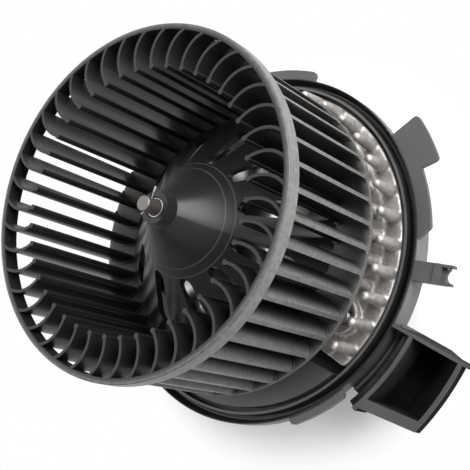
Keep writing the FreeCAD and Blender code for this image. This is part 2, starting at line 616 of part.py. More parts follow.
def heat_sink():
    """Die-cast aluminium arc with two staggered rows of pins and two round screw bosses."""
    low, high = FLANGE_BACK_Z, SINK_TOP_Z
    step = high + SINK_INNER_STEP
    inner = WINDOW_INNER_RADIUS + FIT_GAP
    plate = revolved((
        (inner, low), (SINK_OUTER_RADIUS, low), (SINK_OUTER_RADIUS, high - SINK_EDGE_CHAMFER),
        (SINK_OUTER_RADIUS - SINK_EDGE_CHAMFER, high), (SINK_STEP_RADIUS + SINK_INNER_STEP, high),
        (SINK_STEP_RADIUS, step), (inner, step)), WINDOW_START_ANGLE, SINK_END_ANGLE - WINDOW_START_ANGLE)
    plate = plate.cut(half_plane(SINK_LOW_CORNER, SINK_LOW_EDGE_ANGLE, -1, low - 1, step + 1))
    upright = [e for e in plate.Edges if abs(e.BoundBox.ZLength - e.Length) < 0.01]
    corner = [e for e in upright if e.Vertexes[0].Y < 0
              and math.hypot(e.Vertexes[0].X, e.Vertexes[0].Y) > SINK_OUTER_RADIUS - 0.1]
    plate = plate.makeFillet(SINK_CORNER, corner).cut(sink_recess())
    pins = [sink_pin(OUTER_PIN_RADIUS, OUTER_PIN_START + OUTER_PIN_PITCH * i, PIN_TIP_Z)
            for i in range(OUTER_PIN_COUNT)]
    pins += [sink_pin(INNER_PIN_RADIUS, INNER_PIN_START + INNER_PIN_PITCH * i, INNER_PIN_TIP_Z)
             for i in range(INNER_PIN_COUNT)]
    well_radius = SINK_BOSS_RADIUS - SINK_BOSS_WALL
    places = sink_screw_places()
    bosses = [cylinder(SINK_BOSS_RADIUS, high - 0.5, SINK_BOSS_TOP_Z, (p.x, p.y)) for p in places]
    wells = [cylinder(well_radius, high, SINK_BOSS_TOP_Z, (p.x, p.y)) for p in places]
    holes = [cylinder(SCREW_SHANK_RADIUS, low, high, (p.x, p.y)) for p in places]
    return joined([plate] + pins + bosses).cut(Part.makeCompound(wells)).cut(Part.makeCompound(holes))


def screw(place, head_z, shank_end_z):
    """A pan-head screw: head_z is under its head, and the shank runs to shank_end_z."""
    outward = 1.0 if head_z > shank_end_z else -1.0
    spot = (place.x, place.y)
    top = head_z + outward * SCREW_HEAD_HEIGHT
    head = cylinder(SCREW_HEAD_RADIUS, min(head_z, top), max(head_z, top), spot)
    rim = [e for e in head.Edges if len(e.Vertexes) == 1 and abs(e.Vertexes[0].Z - top) < 0.01]
    head = head.makeChamfer(SCREW_HEAD_HEIGHT * 0.4, rim)
    shank = cylinder(SCREW_SHANK_RADIUS, min(head_z, shank_end_z), max(head_z, shank_end_z), spot)
    drive_low = min(top, top - outward * SCREW_HEAD_HEIGHT * 0.6)
    drive = cylinder(SCREW_DRIVE_RADIUS, drive_low, drive_low + SCREW_HEAD_HEIGHT * 0.6, spot)
    return joined([head, shank]).cut(drive)


def heat_sink_screws():
    return Part.makeCompound([screw(p, SINK_TOP_Z, COVER_PLATE_BOTTOM_Z) for p in sink_screw_places()])


def cover_screws():
    face_back = FACE_Z - FACE_THICKNESS
    return Part.makeCompound([screw(p, COVER_PLATE_BOTTOM_Z, face_back) for p in cover_screw_places(0)])


def duct_profile(wall):
    """Outline of the air scoop and duct in radius and height, set in from its outside by a wall."""
    over = 1.0 if wall else 0.0
    top = SCOOP_TOP_Z + over
    heel_z = SCOOP_TOP_Z - SCOOP_STRAIGHT
    start = BOWL_RADIUS + FIT_GAP - over
    return ((SCOOP_INNER_RADIUS + wall, top), (SCOOP_OUTER_RADIUS - wall, top),
            (SCOOP_OUTER_RADIUS - wall, heel_z), (SCOOP_HEEL_RADIUS - wall / 2, DUCT_BOTTOM_Z + wall),
            (start, DUCT_BOTTOM_Z + wall), (start, COVER_PLATE_BOTTOM_Z - wall),
            (SCOOP_INNER_RADIUS + wall, COVER_PLATE_BOTTOM_Z - wall))


def duct_web():
    """Hollow-cheeked web from the flange's rim up to the ledge beside the scoop's lip."""
    near = RIM_RADIUS + SCOOP_RIM_GAP
    ledge = SCOOP_INNER_RADIUS - LEDGE_WIDTH
    foot, top = vec(near, 0, WEB_FOOT_Z), vec(ledge, 0, LEDGE_Z)
    middle = (foot + top) / 2 + vec(0.25, 0, -0.3) * (ledge - near)
    outer = SCOOP_INNER_RADIUS + SCOOP_WALL / 2
    corners = [top, vec(outer, 0, LEDGE_Z), vec(outer, 0, COVER_PLATE_BOTTOM_Z - SCOOP_WALL),
               vec(near, 0, COVER_PLATE_BOTTOM_Z - SCOOP_WALL), foot]
    edges = [Part.Arc(foot, middle, top).toShape()]
    edges += [Part.makeLine(first, second) for first, second in zip(corners, corners[1:])]
    face = Part.Face(Part.Wire(edges))
    return turned(face.revolve(ORIGIN, Z_AXIS, SCOOP_START - SCOOP_LIP_ANGLE), SCOOP_LIP_ANGLE)


def air_duct():
    """Clip-on duct that takes cooling air from its scoop beside the rim to the motor bowl's mouth."""
    sweep_end = -60.0
    reach = (DUCT_BOTTOM_Z - 1, SCOOP_TOP_Z + 2)
    ledge = SCOOP_INNER_RADIUS - LEDGE_WIDTH
    corner = polar(ledge, NOTCH_CORNER_ANGLE)
    inner_corner = corner + polar(SCOOP_WALL, SINK_LOW_EDGE_ANGLE + 90.0)
    outside = revolved(duct_profile(0.0), sweep_end, SCOOP_START - sweep_end)
    outside = outside.cut(half_plane((0, SCOOP_LOW_Y), 0.0, -1, *reach))
    duct_low_y = SCOOP_LOW_Y + DUCT_LOW_STEP
    outside = outside.cut(half_plane((0, duct_low_y), 0.0, -1, reach[0], COVER_PLATE_BOTTOM_Z))
    inside = revolved(duct_profile(SCOOP_WALL), sweep_end, SCOOP_START - sweep_end + 5.0)
    inside = inside.cut(half_plane((0, SCOOP_LOW_Y + SCOOP_LOW_WALL), 0.0, -1, *reach))
    inside = inside.cut(half_plane((inner_corner.x, inner_corner.y), SINK_LOW_EDGE_ANGLE, -1, *reach))
    end = polar(SCOOP_INNER_RADIUS, SCOOP_START)
    inside = inside.cut(half_plane((end.x, end.y - SCOOP_PLATE_WALL), SCOOP_START, 1, *reach))
    lip = sector(SCOOP_INNER_RADIUS, SCOOP_INNER_RADIUS + SCOOP_WALL, SCOOP_LIP_ANGLE, SCOOP_START - 1.0,
                 COVER_PLATE_BOTTOM_Z, SCOOP_TOP_Z)
    plate = box((0, -SCOOP_PLATE_WALL, COVER_PLATE_BOTTOM_Z - SCOOP_WALL),
                (SCOOP_PLATE_REACH - SCOOP_RIM_GAP, 0, SCOOP_TOP_Z))
    plate = turned(plate, SCOOP_START)
    plate.translate(polar(RIM_RADIUS + SCOOP_RIM_GAP, SCOOP_START))
    notch = cylinder(ledge, *reach).common(half_plane((corner.x, corner.y), SINK_LOW_EDGE_ANGLE, -1, *reach))
    return joined([outside, duct_web(), lip, plate]).cut(inside).cut(notch)


def pocket_sector(inset, z_low, z_high):
    """The pocket's plan as a solid, set in all round."""
    turn = math.degrees(inset / POCKET_INNER_RADIUS)
    inner, outer = POCKET_INNER_RADIUS + inset, POCKET_OUTER_RADIUS - inset
    return sector(inner, outer, POCKET_START + turn, POCKET_END - turn, z_low, z_high)


def connector_shroud():
    """Outside and inside of the socket that the car's plug goes into, below the pocket."""
    wide, long, deep = SHROUD_SIZE
    x, y = SHROUD_CENTRE
    low, high = POCKET_BOTTOM_Z - deep, POCKET_BOTTOM_Z + COVER_WALL / 2
    outside = box((x - wide / 2, y - long / 2, low), (x + wide / 2, y + long / 2, high))
    outside = outside.makeFillet(SHROUD_WALL, [e for e in outside.Edges if e.BoundBox.ZLength > deep])
    half_wide, half_long = wide / 2 - SHROUD_WALL, long / 2 - SHROUD_WALL
    inside = box((x - half_wide, y - half_long, low), (x + half_wide, y + half_long, POCKET_BOTTOM_Z))
    return outside, inside


def terminal_places():
    """Where the connector's terminals pass the pocket's floor, in a row along the shroud."""
    x, y = SHROUD_CENTRE
    return [(x, y + (i - (TERMINAL_COUNT - 1) / 2) * TERMINAL_PITCH) for i in range(TERMINAL_COUNT)]


def terminal_blade(place, z_low, z_high, extra=0.0):
    """One flat blade, or the slit for it with some room all round."""
    x, y = place
    half_thick, half_wide = (size / 2 + extra for size in TERMINAL_SIZE)
    return box((x - half_thick, y - half_wide, z_low), (x + half_thick, y + half_wide, z_high))


def connector_terminals():
    """Flat connector blades from the board down into the shroud."""
    low = POCKET_BOTTOM_Z - SHROUD_SIZE[2] + TERMINAL_SETBACK
    high = BOARD_TOP_Z - BOARD_THICKNESS
    return Part.makeCompound([terminal_blade(place, low, high) for place in terminal_places()])


def board_post_places():
    middle = (POCKET_INNER_RADIUS + POCKET_OUTER_RADIUS) / 2
    inner, outer = POCKET_INNER_RADIUS + 5.5, POCKET_OUTER_RADIUS - 6.0
    return [polar(inner, POCKET_START + 6), polar(outer, POCKET_START + 6),
            polar(inner, POCKET_END - 8), polar(middle + 5, POCKET_END - 6)]


def regulator_housing():
    """Box under the heat sink for the electronics, with board posts and the connector's shroud."""
    shroud, shroud_space = connector_shroud()
    body = pocket_sector(0.0, POCKET_BOTTOM_Z, FLANGE_BACK_Z).fuse(shroud)
    body = body.cut(pocket_sector(COVER_WALL, POCKET_BOTTOM_Z + COVER_WALL, FLANGE_BACK_Z)).cut(shroud_space)
    post_low, post_high = POCKET_BOTTOM_Z + COVER_WALL / 2, BOARD_TOP_Z - BOARD_THICKNESS
    posts = [cylinder(BOARD_POST_RADIUS, post_low, post_high, (p.x, p.y)) for p in board_post_places()]
    slits = [terminal_blade(place, POCKET_BOTTOM_Z - 1, POCKET_BOTTOM_Z + COVER_WALL + 1, FIT_GAP / 2)
             for place in terminal_places()]
    return joined([body] + posts).cut(Part.makeCompound(slits))


def rear_cover():
    """Rear moulding: plate behind the flange and the bowl round the motor, with the air mouth in the bowl."""
    fit = COLLAR_RADIUS + FIT_GAP
    low, floor_z = COVER_PLATE_BOTTOM_Z, BOWL_BOTTOM_Z + COVER_WALL
    body = revolved((
        (fit, FLANGE_BACK_Z), (COVER_PLATE_RADIUS, FLANGE_BACK_Z), (COVER_PLATE_RADIUS, low),
        (BOWL_RADIUS, low), (BOWL_RADIUS, BOWL_BOTTOM_Z), (0.0, BOWL_BOTTOM_Z), (0.0, floor_z),
        (BOWL_BORE, floor_z), (BOWL_BORE, low), (fit, low)))
    body = body.makeFillet(BOWL_EDGE_ROUND, edges_on_circle(body, BOWL_RADIUS, BOWL_BOTTOM_Z))
    mouth = sector(BOWL_BORE - 2, BOWL_RADIUS + 2, MOUTH_START, SCOOP_START - 2, DUCT_BOTTOM_Z + SCOOP_WALL,
                   low - SCOOP_WALL)
    window = pocket_sector(-FIT_GAP, low - 1, FLANGE_BACK_Z + 1)
    places = cover_screw_places(0) + sink_screw_places()
    holes = [cylinder(SCREW_SHANK_RADIUS, low - 1, FLANGE_BACK_Z + 1, (p.x, p.y)) for p in places]
    return body.cut(mouth).cut(window).cut(Part.makeCompound(holes))


def regulator_board():
    """Circuit board on the posts of its housing."""
    return pocket_sector(COVER_WALL + BOARD_GAP, BOARD_TOP_Z - BOARD_THICKNESS, BOARD_TOP_Z)


def power_transistors():
    """Two flat power transistors between the board and the heat sink's plate."""
    wide, long, thick = TRANSISTOR_SIZE
    bodies = []
    for angle in TRANSISTOR_ANGLES:
        body = box((TRANSISTOR_RADIUS - long / 2, -wide / 2, BOARD_TOP_Z),
                   (TRANSISTOR_RADIUS + long / 2, wide / 2, FLANGE_BACK_Z))
        low_edges = [e for e in body.Edges if abs(e.Length - thick) < 0.01]
        bodies.append(turned(body.makeChamfer(1.0, low_edges), angle))
    return Part.makeCompound(bodies)


def smoothing_capacitor():
    """Round capacitor that lies along the board's underside."""
    z = BOARD_TOP_Z - BOARD_THICKNESS - CAPACITOR_RADIUS
    along = polar(1.0, CAPACITOR_ANGLE + 90.0)
    start = polar(CAPACITOR_PLACE_RADIUS, CAPACITOR_ANGLE, z) - along * (CAPACITOR_LENGTH / 2)
    can = Part.makeCylinder(CAPACITOR_RADIUS, CAPACITOR_LENGTH, start, along)
    return can.makeChamfer(CAPACITOR_CHAMFER, [e for e in can.Edges if len(e.Vertexes) == 1])


def motor_can():
    """Deep-drawn steel can with a nose for the front bearing and vents in its end."""
    nose_bore, nose_z = NOSE_RADIUS - CAN_WALL, CAN_TOP_Z + NOSE_HEIGHT
    body = revolved((
        (nose_bore, nose_z), (NOSE_RADIUS, nose_z), (NOSE_RADIUS, CAN_TOP_Z), (CAN_RADIUS, CAN_TOP_Z),
        (CAN_RADIUS, CAN_BOTTOM_Z), (CAN_BORE, CAN_BOTTOM_Z), (CAN_BORE, CAN_TOP_Z - CAN_WALL),
        (nose_bore, CAN_TOP_Z - CAN_WALL)))
    body = body.makeFillet(CAN_SHOULDER, edges_on_circle(body, CAN_RADIUS, CAN_TOP_Z))
    inner_edges = edges_on_circle(body, CAN_BORE, CAN_TOP_Z - CAN_WALL)
    body = body.makeChamfer(CAN_SHOULDER - 1.4 * CAN_WALL, inner_edges)
    near, far = VENT_RADII
    vent = box((near, -VENT_WIDTH / 2, CAN_TOP_Z - 2 * CAN_WALL), (far, VENT_WIDTH / 2, CAN_TOP_Z + 1))
    vent = vent.makeFillet(VENT_WIDTH * 0.3, [e for e in vent.Edges if e.BoundBox.ZLength > CAN_WALL])
    vents = around(vent, VENT_COUNT, 45.0)
    side = box((CAN_BORE - 2, -VENT_WIDTH, CAN_BOTTOM_Z + 4), (CAN_RADIUS + 2, VENT_WIDTH, CAN_BOTTOM_Z + 14))
    side = side.makeFillet(3.0, [e for e in side.Edges if e.BoundBox.XLength > CAN_WALL])
    return body.cut(Part.makeCompound(vents + around(side, 3, 60.0)))


def bush(z_low, z_high):
    """Plain sintered bearing bush for the shaft."""
    body = tube(BEARING_BORE, BUSH_RADIUS, z_low, z_high)
    rims = edges_on_circle(body, BUSH_RADIUS, z_low) + edges_on_circle(body, BUSH_RADIUS, z_high)
    return body.makeChamfer(BUSH_CHAMFER, rims)


def front_bearing():
    top = CAN_TOP_Z + NOSE_HEIGHT
    body = bush(top - BUSH_LENGTH, top)
    seat = tube(BUSH_RADIUS - 0.1, NOSE_RADIUS - CAN_WALL, CAN_TOP_Z - CAN_WALL, top - 1.0)
    return body.fuse(seat).removeSplitter()


def rear_bearing():
    return bush(REAR_CUP_BOTTOM_Z + END_PLATE_THICKNESS, END_PLATE_TOP_Z - END_PLATE_THICKNESS + 1.0)


def magnet(angle):
    """One ferrite arc against the can's wall."""
    inner = CAN_BORE - MAGNET_THICKNESS
    body = sector(inner, CAN_BORE, angle - MAGNET_SPAN / 2, angle + MAGNET_SPAN / 2, *MAGNET_Z)
    tall = MAGNET_Z[1] - MAGNET_Z[0]
    inner_edges = [e for e in body.Edges if abs(e.Length - tall) < 0.01
                   and math.hypot(e.Vertexes[0].X, e.Vertexes[0].Y) < inner + 0.1]
    return body.makeChamfer(1.5, inner_edges)


def magnet_clips():
    """Bent spring clips that wedge the two magnets apart."""
    clips = []
    half = (180.0 - MAGNET_SPAN) / 2
    for angle in (90.0, 270.0):
        web = sector(CAN_BORE - 1.0, CAN_BORE, angle - half, angle + half, MAGNET_Z[0] + 6, MAGNET_Z[1] - 6)
        for side in (-1, 1):
            turn = angle + side * (half - 0.6)
            leg = sector(CAN_BORE - MAGNET_THICKNESS + 2.5, CAN_BORE, turn - 0.6, turn + 0.6,
                         MAGNET_Z[0] + 6, MAGNET_Z[1] - 6)
            web = web.fuse(leg)
        clips.append(web.removeSplitter())
    return Part.makeCompound(clips)


def core_slot():
    """Cutter for one winding slot of the armature: a wedge between two teeth and the gap at its mouth."""
    inner, outer = CORE_YOKE_RADIUS, CORE_RADIUS - CORE_TIP_WALL
    half_pitch = math.pi / CORE_SLOTS
    inner_half = inner * math.tan(half_pitch) - CORE_TOOTH_WIDTH / 2
    outer_half = outer * math.tan(half_pitch) - CORE_TOOTH_WIDTH / 2
    corners = ((inner, -inner_half), (outer, -outer_half), (outer, outer_half), (inner, inner_half))
    wedge = prism(corners, *CORE_Z)
    mouth = box((outer - 1, -CORE_TIP_GAP / 2, CORE_Z[0]), (CORE_RADIUS + 1, CORE_TIP_GAP / 2, CORE_Z[1]))
    return wedge, mouth


def armature_core():
    """Laminated armature with straight slots."""
    wedge, mouth = core_slot()
    body = tube(SHAFT_RADIUS, CORE_RADIUS, *CORE_Z)
    return body.cut(Part.makeCompound(around(wedge.fuse(mouth), CORE_SLOTS)))


def armature_windings():
    """Copper windings: the fill of the slots and the bundled turns at both ends."""
    wedge, _ = core_slot()
    bars = around(wedge, CORE_SLOTS)
    inner, outer = CORE_YOKE_RADIUS - 2.0, CORE_RADIUS - CORE_TIP_WALL - 0.5
    ends = []
    for near, far in ((CORE_Z[1], CORE_Z[1] + WINDING_OVERHANG), (CORE_Z[0], CORE_Z[0] - WINDING_OVERHANG)):
        ring = tube(inner, outer, min(near, far), max(near, far))
        rims = edges_on_circle(ring, outer, far) + edges_on_circle(ring, inner, far)
        ends.append(ring.makeChamfer(WINDING_OVERHANG * 0.4, rims))
    return joined(ends + bars)


def commutator():
    """Copper bars on an insulating sleeve, with a groove between bars and a riser for the wires."""
    low, high = COMMUTATOR_Z
    body = tube(SHAFT_RADIUS, COMMUTATOR_RADIUS, low, high)
    groove = box((COMMUTATOR_RADIUS - 1.0, -COMMUTATOR_GROOVE / 2, low),
                 (COMMUTATOR_RADIUS + 1.0, COMMUTATOR_GROOVE / 2, high - 2.0))
    return body.cut(Part.makeCompound(around(groove, CORE_SLOTS, 180.0 / CORE_SLOTS)))


def thrust_washers():
    """Two washers on the shaft, next to the bearings."""
    front_z = CAN_TOP_Z + NOSE_HEIGHT - BUSH_LENGTH - FIT_GAP
    rear_z = END_PLATE_TOP_Z - END_PLATE_THICKNESS + 1.0 + FIT_GAP
    return Part.makeCompound([tube(SHAFT_RADIUS, WASHER_RADIUS, front_z - WASHER_THICKNESS, front_z),
                              tube(SHAFT_RADIUS, WASHER_RADIUS, rear_z, rear_z + WASHER_THICKNESS)])


def end_plate():
    """Steel plate that closes the can, with a cup for the rear bearing."""
    plate_low = END_PLATE_TOP_Z - END_PLATE_THICKNESS
    body = revolved((
        (BUSH_RADIUS, plate_low + 1.0), (BUSH_RADIUS, END_PLATE_TOP_Z), (CAN_RADIUS, END_PLATE_TOP_Z),
        (CAN_RADIUS, plate_low), (REAR_CUP_RADIUS, plate_low), (REAR_CUP_RADIUS, REAR_CUP_BOTTOM_Z),
        (0.0, REAR_CUP_BOTTOM_Z), (0.0, REAR_CUP_BOTTOM_Z + END_PLATE_THICKNESS),
        (BUSH_RADIUS, REAR_CUP_BOTTOM_Z + END_PLATE_THICKNESS)))
    hole = cylinder(4.0, plate_low - 1, END_PLATE_TOP_Z + 1, (27.0, 0.0))
    return body.cut(Part.makeCompound(around(hole, 6, 30.0)))


def brush_card():
    """Insulating plate that carries the brush holders and chokes across the can's open end."""
    body = tube(CARD_HOLE_RADIUS, CAN_BORE, CARD_BOTTOM_Z, CARD_TOP_Z)
    notch = cylinder(6.0, CARD_BOTTOM_Z - 1, CARD_TOP_Z + 1, (CAN_BORE, 0.0))
    return body.cut(Part.makeCompound(around(notch, 2, 45.0)))


def brush_holder(angle):
    """Bent brass guide of one brush, closed at its outer end and fixed under the card."""
    _, wide, tall = BRUSH_SIZE
    half = wide / 2 + BRUSH_PLAY
    low = BRUSH_TOP_Z - tall - BRUSH_PLAY
    outer = box((HOLDER_START_RADIUS, -half - HOLDER_WALL, low - HOLDER_WALL),
                (SPRING_END_RADIUS + HOLDER_WALL, half + HOLDER_WALL, CARD_BOTTOM_Z))
    space = box((HOLDER_START_RADIUS - 1, -half, low), (SPRING_END_RADIUS, half, BRUSH_TOP_Z + BRUSH_PLAY))
    return turned(outer.cut(space), angle)


def brush(angle):
    """Carbon brush, hollowed where it meets the commutator."""
    long, wide, tall = BRUSH_SIZE
    block = box((BRUSH_START_RADIUS - 0.5, -wide / 2, BRUSH_TOP_Z - tall),
                (BRUSH_START_RADIUS + long, wide / 2, BRUSH_TOP_Z))
    face = cylinder(BRUSH_START_RADIUS, BRUSH_TOP_Z - tall - 1, BRUSH_TOP_Z + 1)
    return turned(block.cut(face), angle)


def brush_spring(angle):
    """Coil spring of square wire between a brush and the closed end of its holder."""
    clearance = 0.15
    length = SPRING_LENGTH - SPRING_WIRE - 2 * clearance
    helix = Part.makeHelix(length / SPRING_TURNS, length, SPRING_RADIUS)
    corners = [vec(SPRING_RADIUS + x * SPRING_WIRE / 2, 0, z * SPRING_WIRE / 2)
               for x, z in ((-1, -1), (1, -1), (1, 1), (-1, 1), (-1, -1))]
    profile = Part.makePolygon(corners)
    coil = Part.Wire(helix.Edges).makePipeShell([profile], True, True)
    coil.rotate(ORIGIN, vec(0, 1, 0), 90)
    middle = BRUSH_TOP_Z - BRUSH_SIZE[2] / 2
    coil.translate(vec(SPRING_START_RADIUS + SPRING_WIRE / 2 + clearance, 0, middle))
    return turned(coil, angle)


def suppression_chokes():
    """Two wound chokes that lie under the card, beside the brushes."""
    chokes = []
    z = CARD_BOTTOM_Z - CHOKE_RADIUS
    for angle in (90.0, 270.0):
        place = polar(CHOKE_PLACE_RADIUS, angle, z) - polar(CHOKE_LENGTH / 2, angle - 90.0)
        winding = Part.makeCylinder(CHOKE_RADIUS, CHOKE_LENGTH, place, polar(1.0, angle - 90.0))
        chokes.append(winding.makeChamfer(CHOKE_CHAMFER, [e for e in winding.Edges if len(e.Vertexes) == 1]))
    return Part.makeCompound(chokes)


def rubber_dampers():
    """Rubber blocks that hold the can in the flange's collar and keep its hum out of the car."""
    inner, outer = CAN_RADIUS, COLLAR_RADIUS - COLLAR_WALL
    half = DAMPER_SPAN / 2
    return Part.makeCompound([sector(inner, outer, angle - half, angle + half, *DAMPER_Z)
                              for angle in DAMPER_ANGLES])


NODES = {
    "impeller": impeller,
    "shaft": shaft,
    "shaft_clip": shaft_clip,
    "armature_core": armature_core,
    "armature_windings": armature_windings,
    "commutator": commutator,
    "thrust_washers": thrust_washers,
    "mounting_flange": mounting_flange,
    "rim_seal": rim_seal,
    "heat_sink": heat_sink,
    "heat_sink_screws": heat_sink_screws,
    "rear_cover": rear_cover,
    "air_duct": air_duct,
    "regulator_housing": regulator_housing,
    "cover_screws": cover_screws,
    "regulator_board": regulator_board,
    "power_transistors": power_transistors,
    "smoothing_capacitor": smoothing_capacitor,
    "connector_terminals": connector_terminals,
    "motor_can": motor_can,
    "front_bearing": front_bearing,
    "rear_bearing": rear_bearing,
    "magnet_left": lambda: magnet(180.0),
    "magnet_right": lambda: magnet(0.0),
    "magnet_clips": magnet_clips,
    "end_plate": end_plate,
    "brush_card": brush_card,
    "brush_holder_a": lambda: brush_holder(0.0),
    "brush_holder_b": lambda: brush_holder(180.0),
    "brush_a": lambda: brush(0.0),
    "brush_b": lambda: brush(180.0),
    "brush_spring_a": lambda: brush_spring(0.0),
    "brush_spring_b": lambda: brush_spring(180.0),
    "suppression_chokes": suppression_chokes,
    "rubber_dampers": rubber_dampers,
}


def main():
    os.makedirs(OUT_FOLDER, exist_ok=True)
    for name, build in NODES.items():
        shape = build()
        shape.exportStep(os.path.join(OUT_FOLDER, name + ".step"))
        volume = shape.Volume / 1000.0
        print(name, "solids", len(shape.Solids), "valid", shape.isValid(), "cm3 %.2f" % volume)


main()
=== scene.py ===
"""Looks of a car cabin blower motor: a squirrel-cage wheel on a flanged motor with a pin-fin heat sink.

Everything is in metres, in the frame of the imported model: the Z axis is the shaft, +Z points out of the
wheel's inlet, and the origin lies in the plane of the front edge of the flange's rim.
"""
import json
import logging
import math
from dataclasses import dataclass
from enum import Enum
from typing import Any, Optional, Union

import bpy
from mathutils import Matrix, Vector


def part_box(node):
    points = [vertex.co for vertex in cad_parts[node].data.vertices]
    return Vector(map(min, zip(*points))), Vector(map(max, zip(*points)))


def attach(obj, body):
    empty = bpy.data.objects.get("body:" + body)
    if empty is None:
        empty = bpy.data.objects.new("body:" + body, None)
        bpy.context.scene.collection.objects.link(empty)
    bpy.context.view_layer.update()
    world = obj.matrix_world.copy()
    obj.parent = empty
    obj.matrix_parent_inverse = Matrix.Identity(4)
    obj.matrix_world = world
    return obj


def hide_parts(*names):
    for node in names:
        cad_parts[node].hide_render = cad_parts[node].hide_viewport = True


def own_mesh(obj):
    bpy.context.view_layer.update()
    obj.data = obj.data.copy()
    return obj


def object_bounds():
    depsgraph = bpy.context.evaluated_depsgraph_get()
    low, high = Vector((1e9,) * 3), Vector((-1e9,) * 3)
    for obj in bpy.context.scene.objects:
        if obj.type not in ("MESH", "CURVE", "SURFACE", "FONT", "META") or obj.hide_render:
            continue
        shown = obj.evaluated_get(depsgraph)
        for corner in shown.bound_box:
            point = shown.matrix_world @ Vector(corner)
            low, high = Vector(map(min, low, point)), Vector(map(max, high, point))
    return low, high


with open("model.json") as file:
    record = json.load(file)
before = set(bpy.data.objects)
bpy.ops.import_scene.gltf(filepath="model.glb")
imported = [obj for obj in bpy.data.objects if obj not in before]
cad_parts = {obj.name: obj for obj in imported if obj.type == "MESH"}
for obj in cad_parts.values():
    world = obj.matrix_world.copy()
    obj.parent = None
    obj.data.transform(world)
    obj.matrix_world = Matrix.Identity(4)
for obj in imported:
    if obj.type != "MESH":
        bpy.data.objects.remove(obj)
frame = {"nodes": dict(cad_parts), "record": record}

CAD_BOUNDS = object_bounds()
MM = 0.001
LOG = logging.getLogger("blower_motor")

Colour = tuple[float, float, float]
Value = Union[float, int, "Wire"]
WHITE: Colour = (1.0, 1.0, 1.0)


class Body(Enum):
    """The rigid body that the new pieces ride on."""

    HOUSING = "housing"


class Ray(Enum):
    """The kinds of light ray that a background tells apart."""

    CAMERA = "Is Camera Ray"
    GLOSSY = "Is Glossy Ray"
    TRANSMISSION = "Is Transmission Ray"


class Wire:
    """An output socket that takes part in Python expressions, each of which adds a Math node."""

    def __init__(self, graph: "Graph", socket: Any) -> None:
        """Keeps the socket and the graph that it belongs to."""
        self.graph = graph
        self.socket = socket

    def __add__(self, other: Value) -> "Wire":
        """self + other."""
        return self.graph.maths("ADD", self, other)

    def __radd__(self, other: Value) -> "Wire":
        """other + self."""
        return self.graph.maths("ADD", other, self)

    def __sub__(self, other: Value) -> "Wire":
        """self - other."""
        return self.graph.maths("SUBTRACT", self, other)

    def __rsub__(self, other: Value) -> "Wire":
        """other - self."""
        return self.graph.maths("SUBTRACT", other, self)

    def __mul__(self, other: Value) -> "Wire":
        """self * other."""
        return self.graph.maths("MULTIPLY", self, other)

    def __rmul__(self, other: Value) -> "Wire":
        """other * self."""
        return self.graph.maths("MULTIPLY", other, self)

    def __pow__(self, other: Value) -> "Wire":
        """self ** other."""
        return self.graph.maths("POWER", self, other)

    def above(self, low: float, high: float) -> "Wire":
        """A smooth step from 0 at low to 1 at high.

        Args:
            low: value at which the step starts.
            high: value at which it is done.

        Returns:
            The step as a new socket.
        """
        settings = {"interpolation_type": "SMOOTHSTEP"}
        inputs = {"Value": self, "From Min": low, "From Max": high}
        return self.graph.node("ShaderNodeMapRange", settings, inputs)


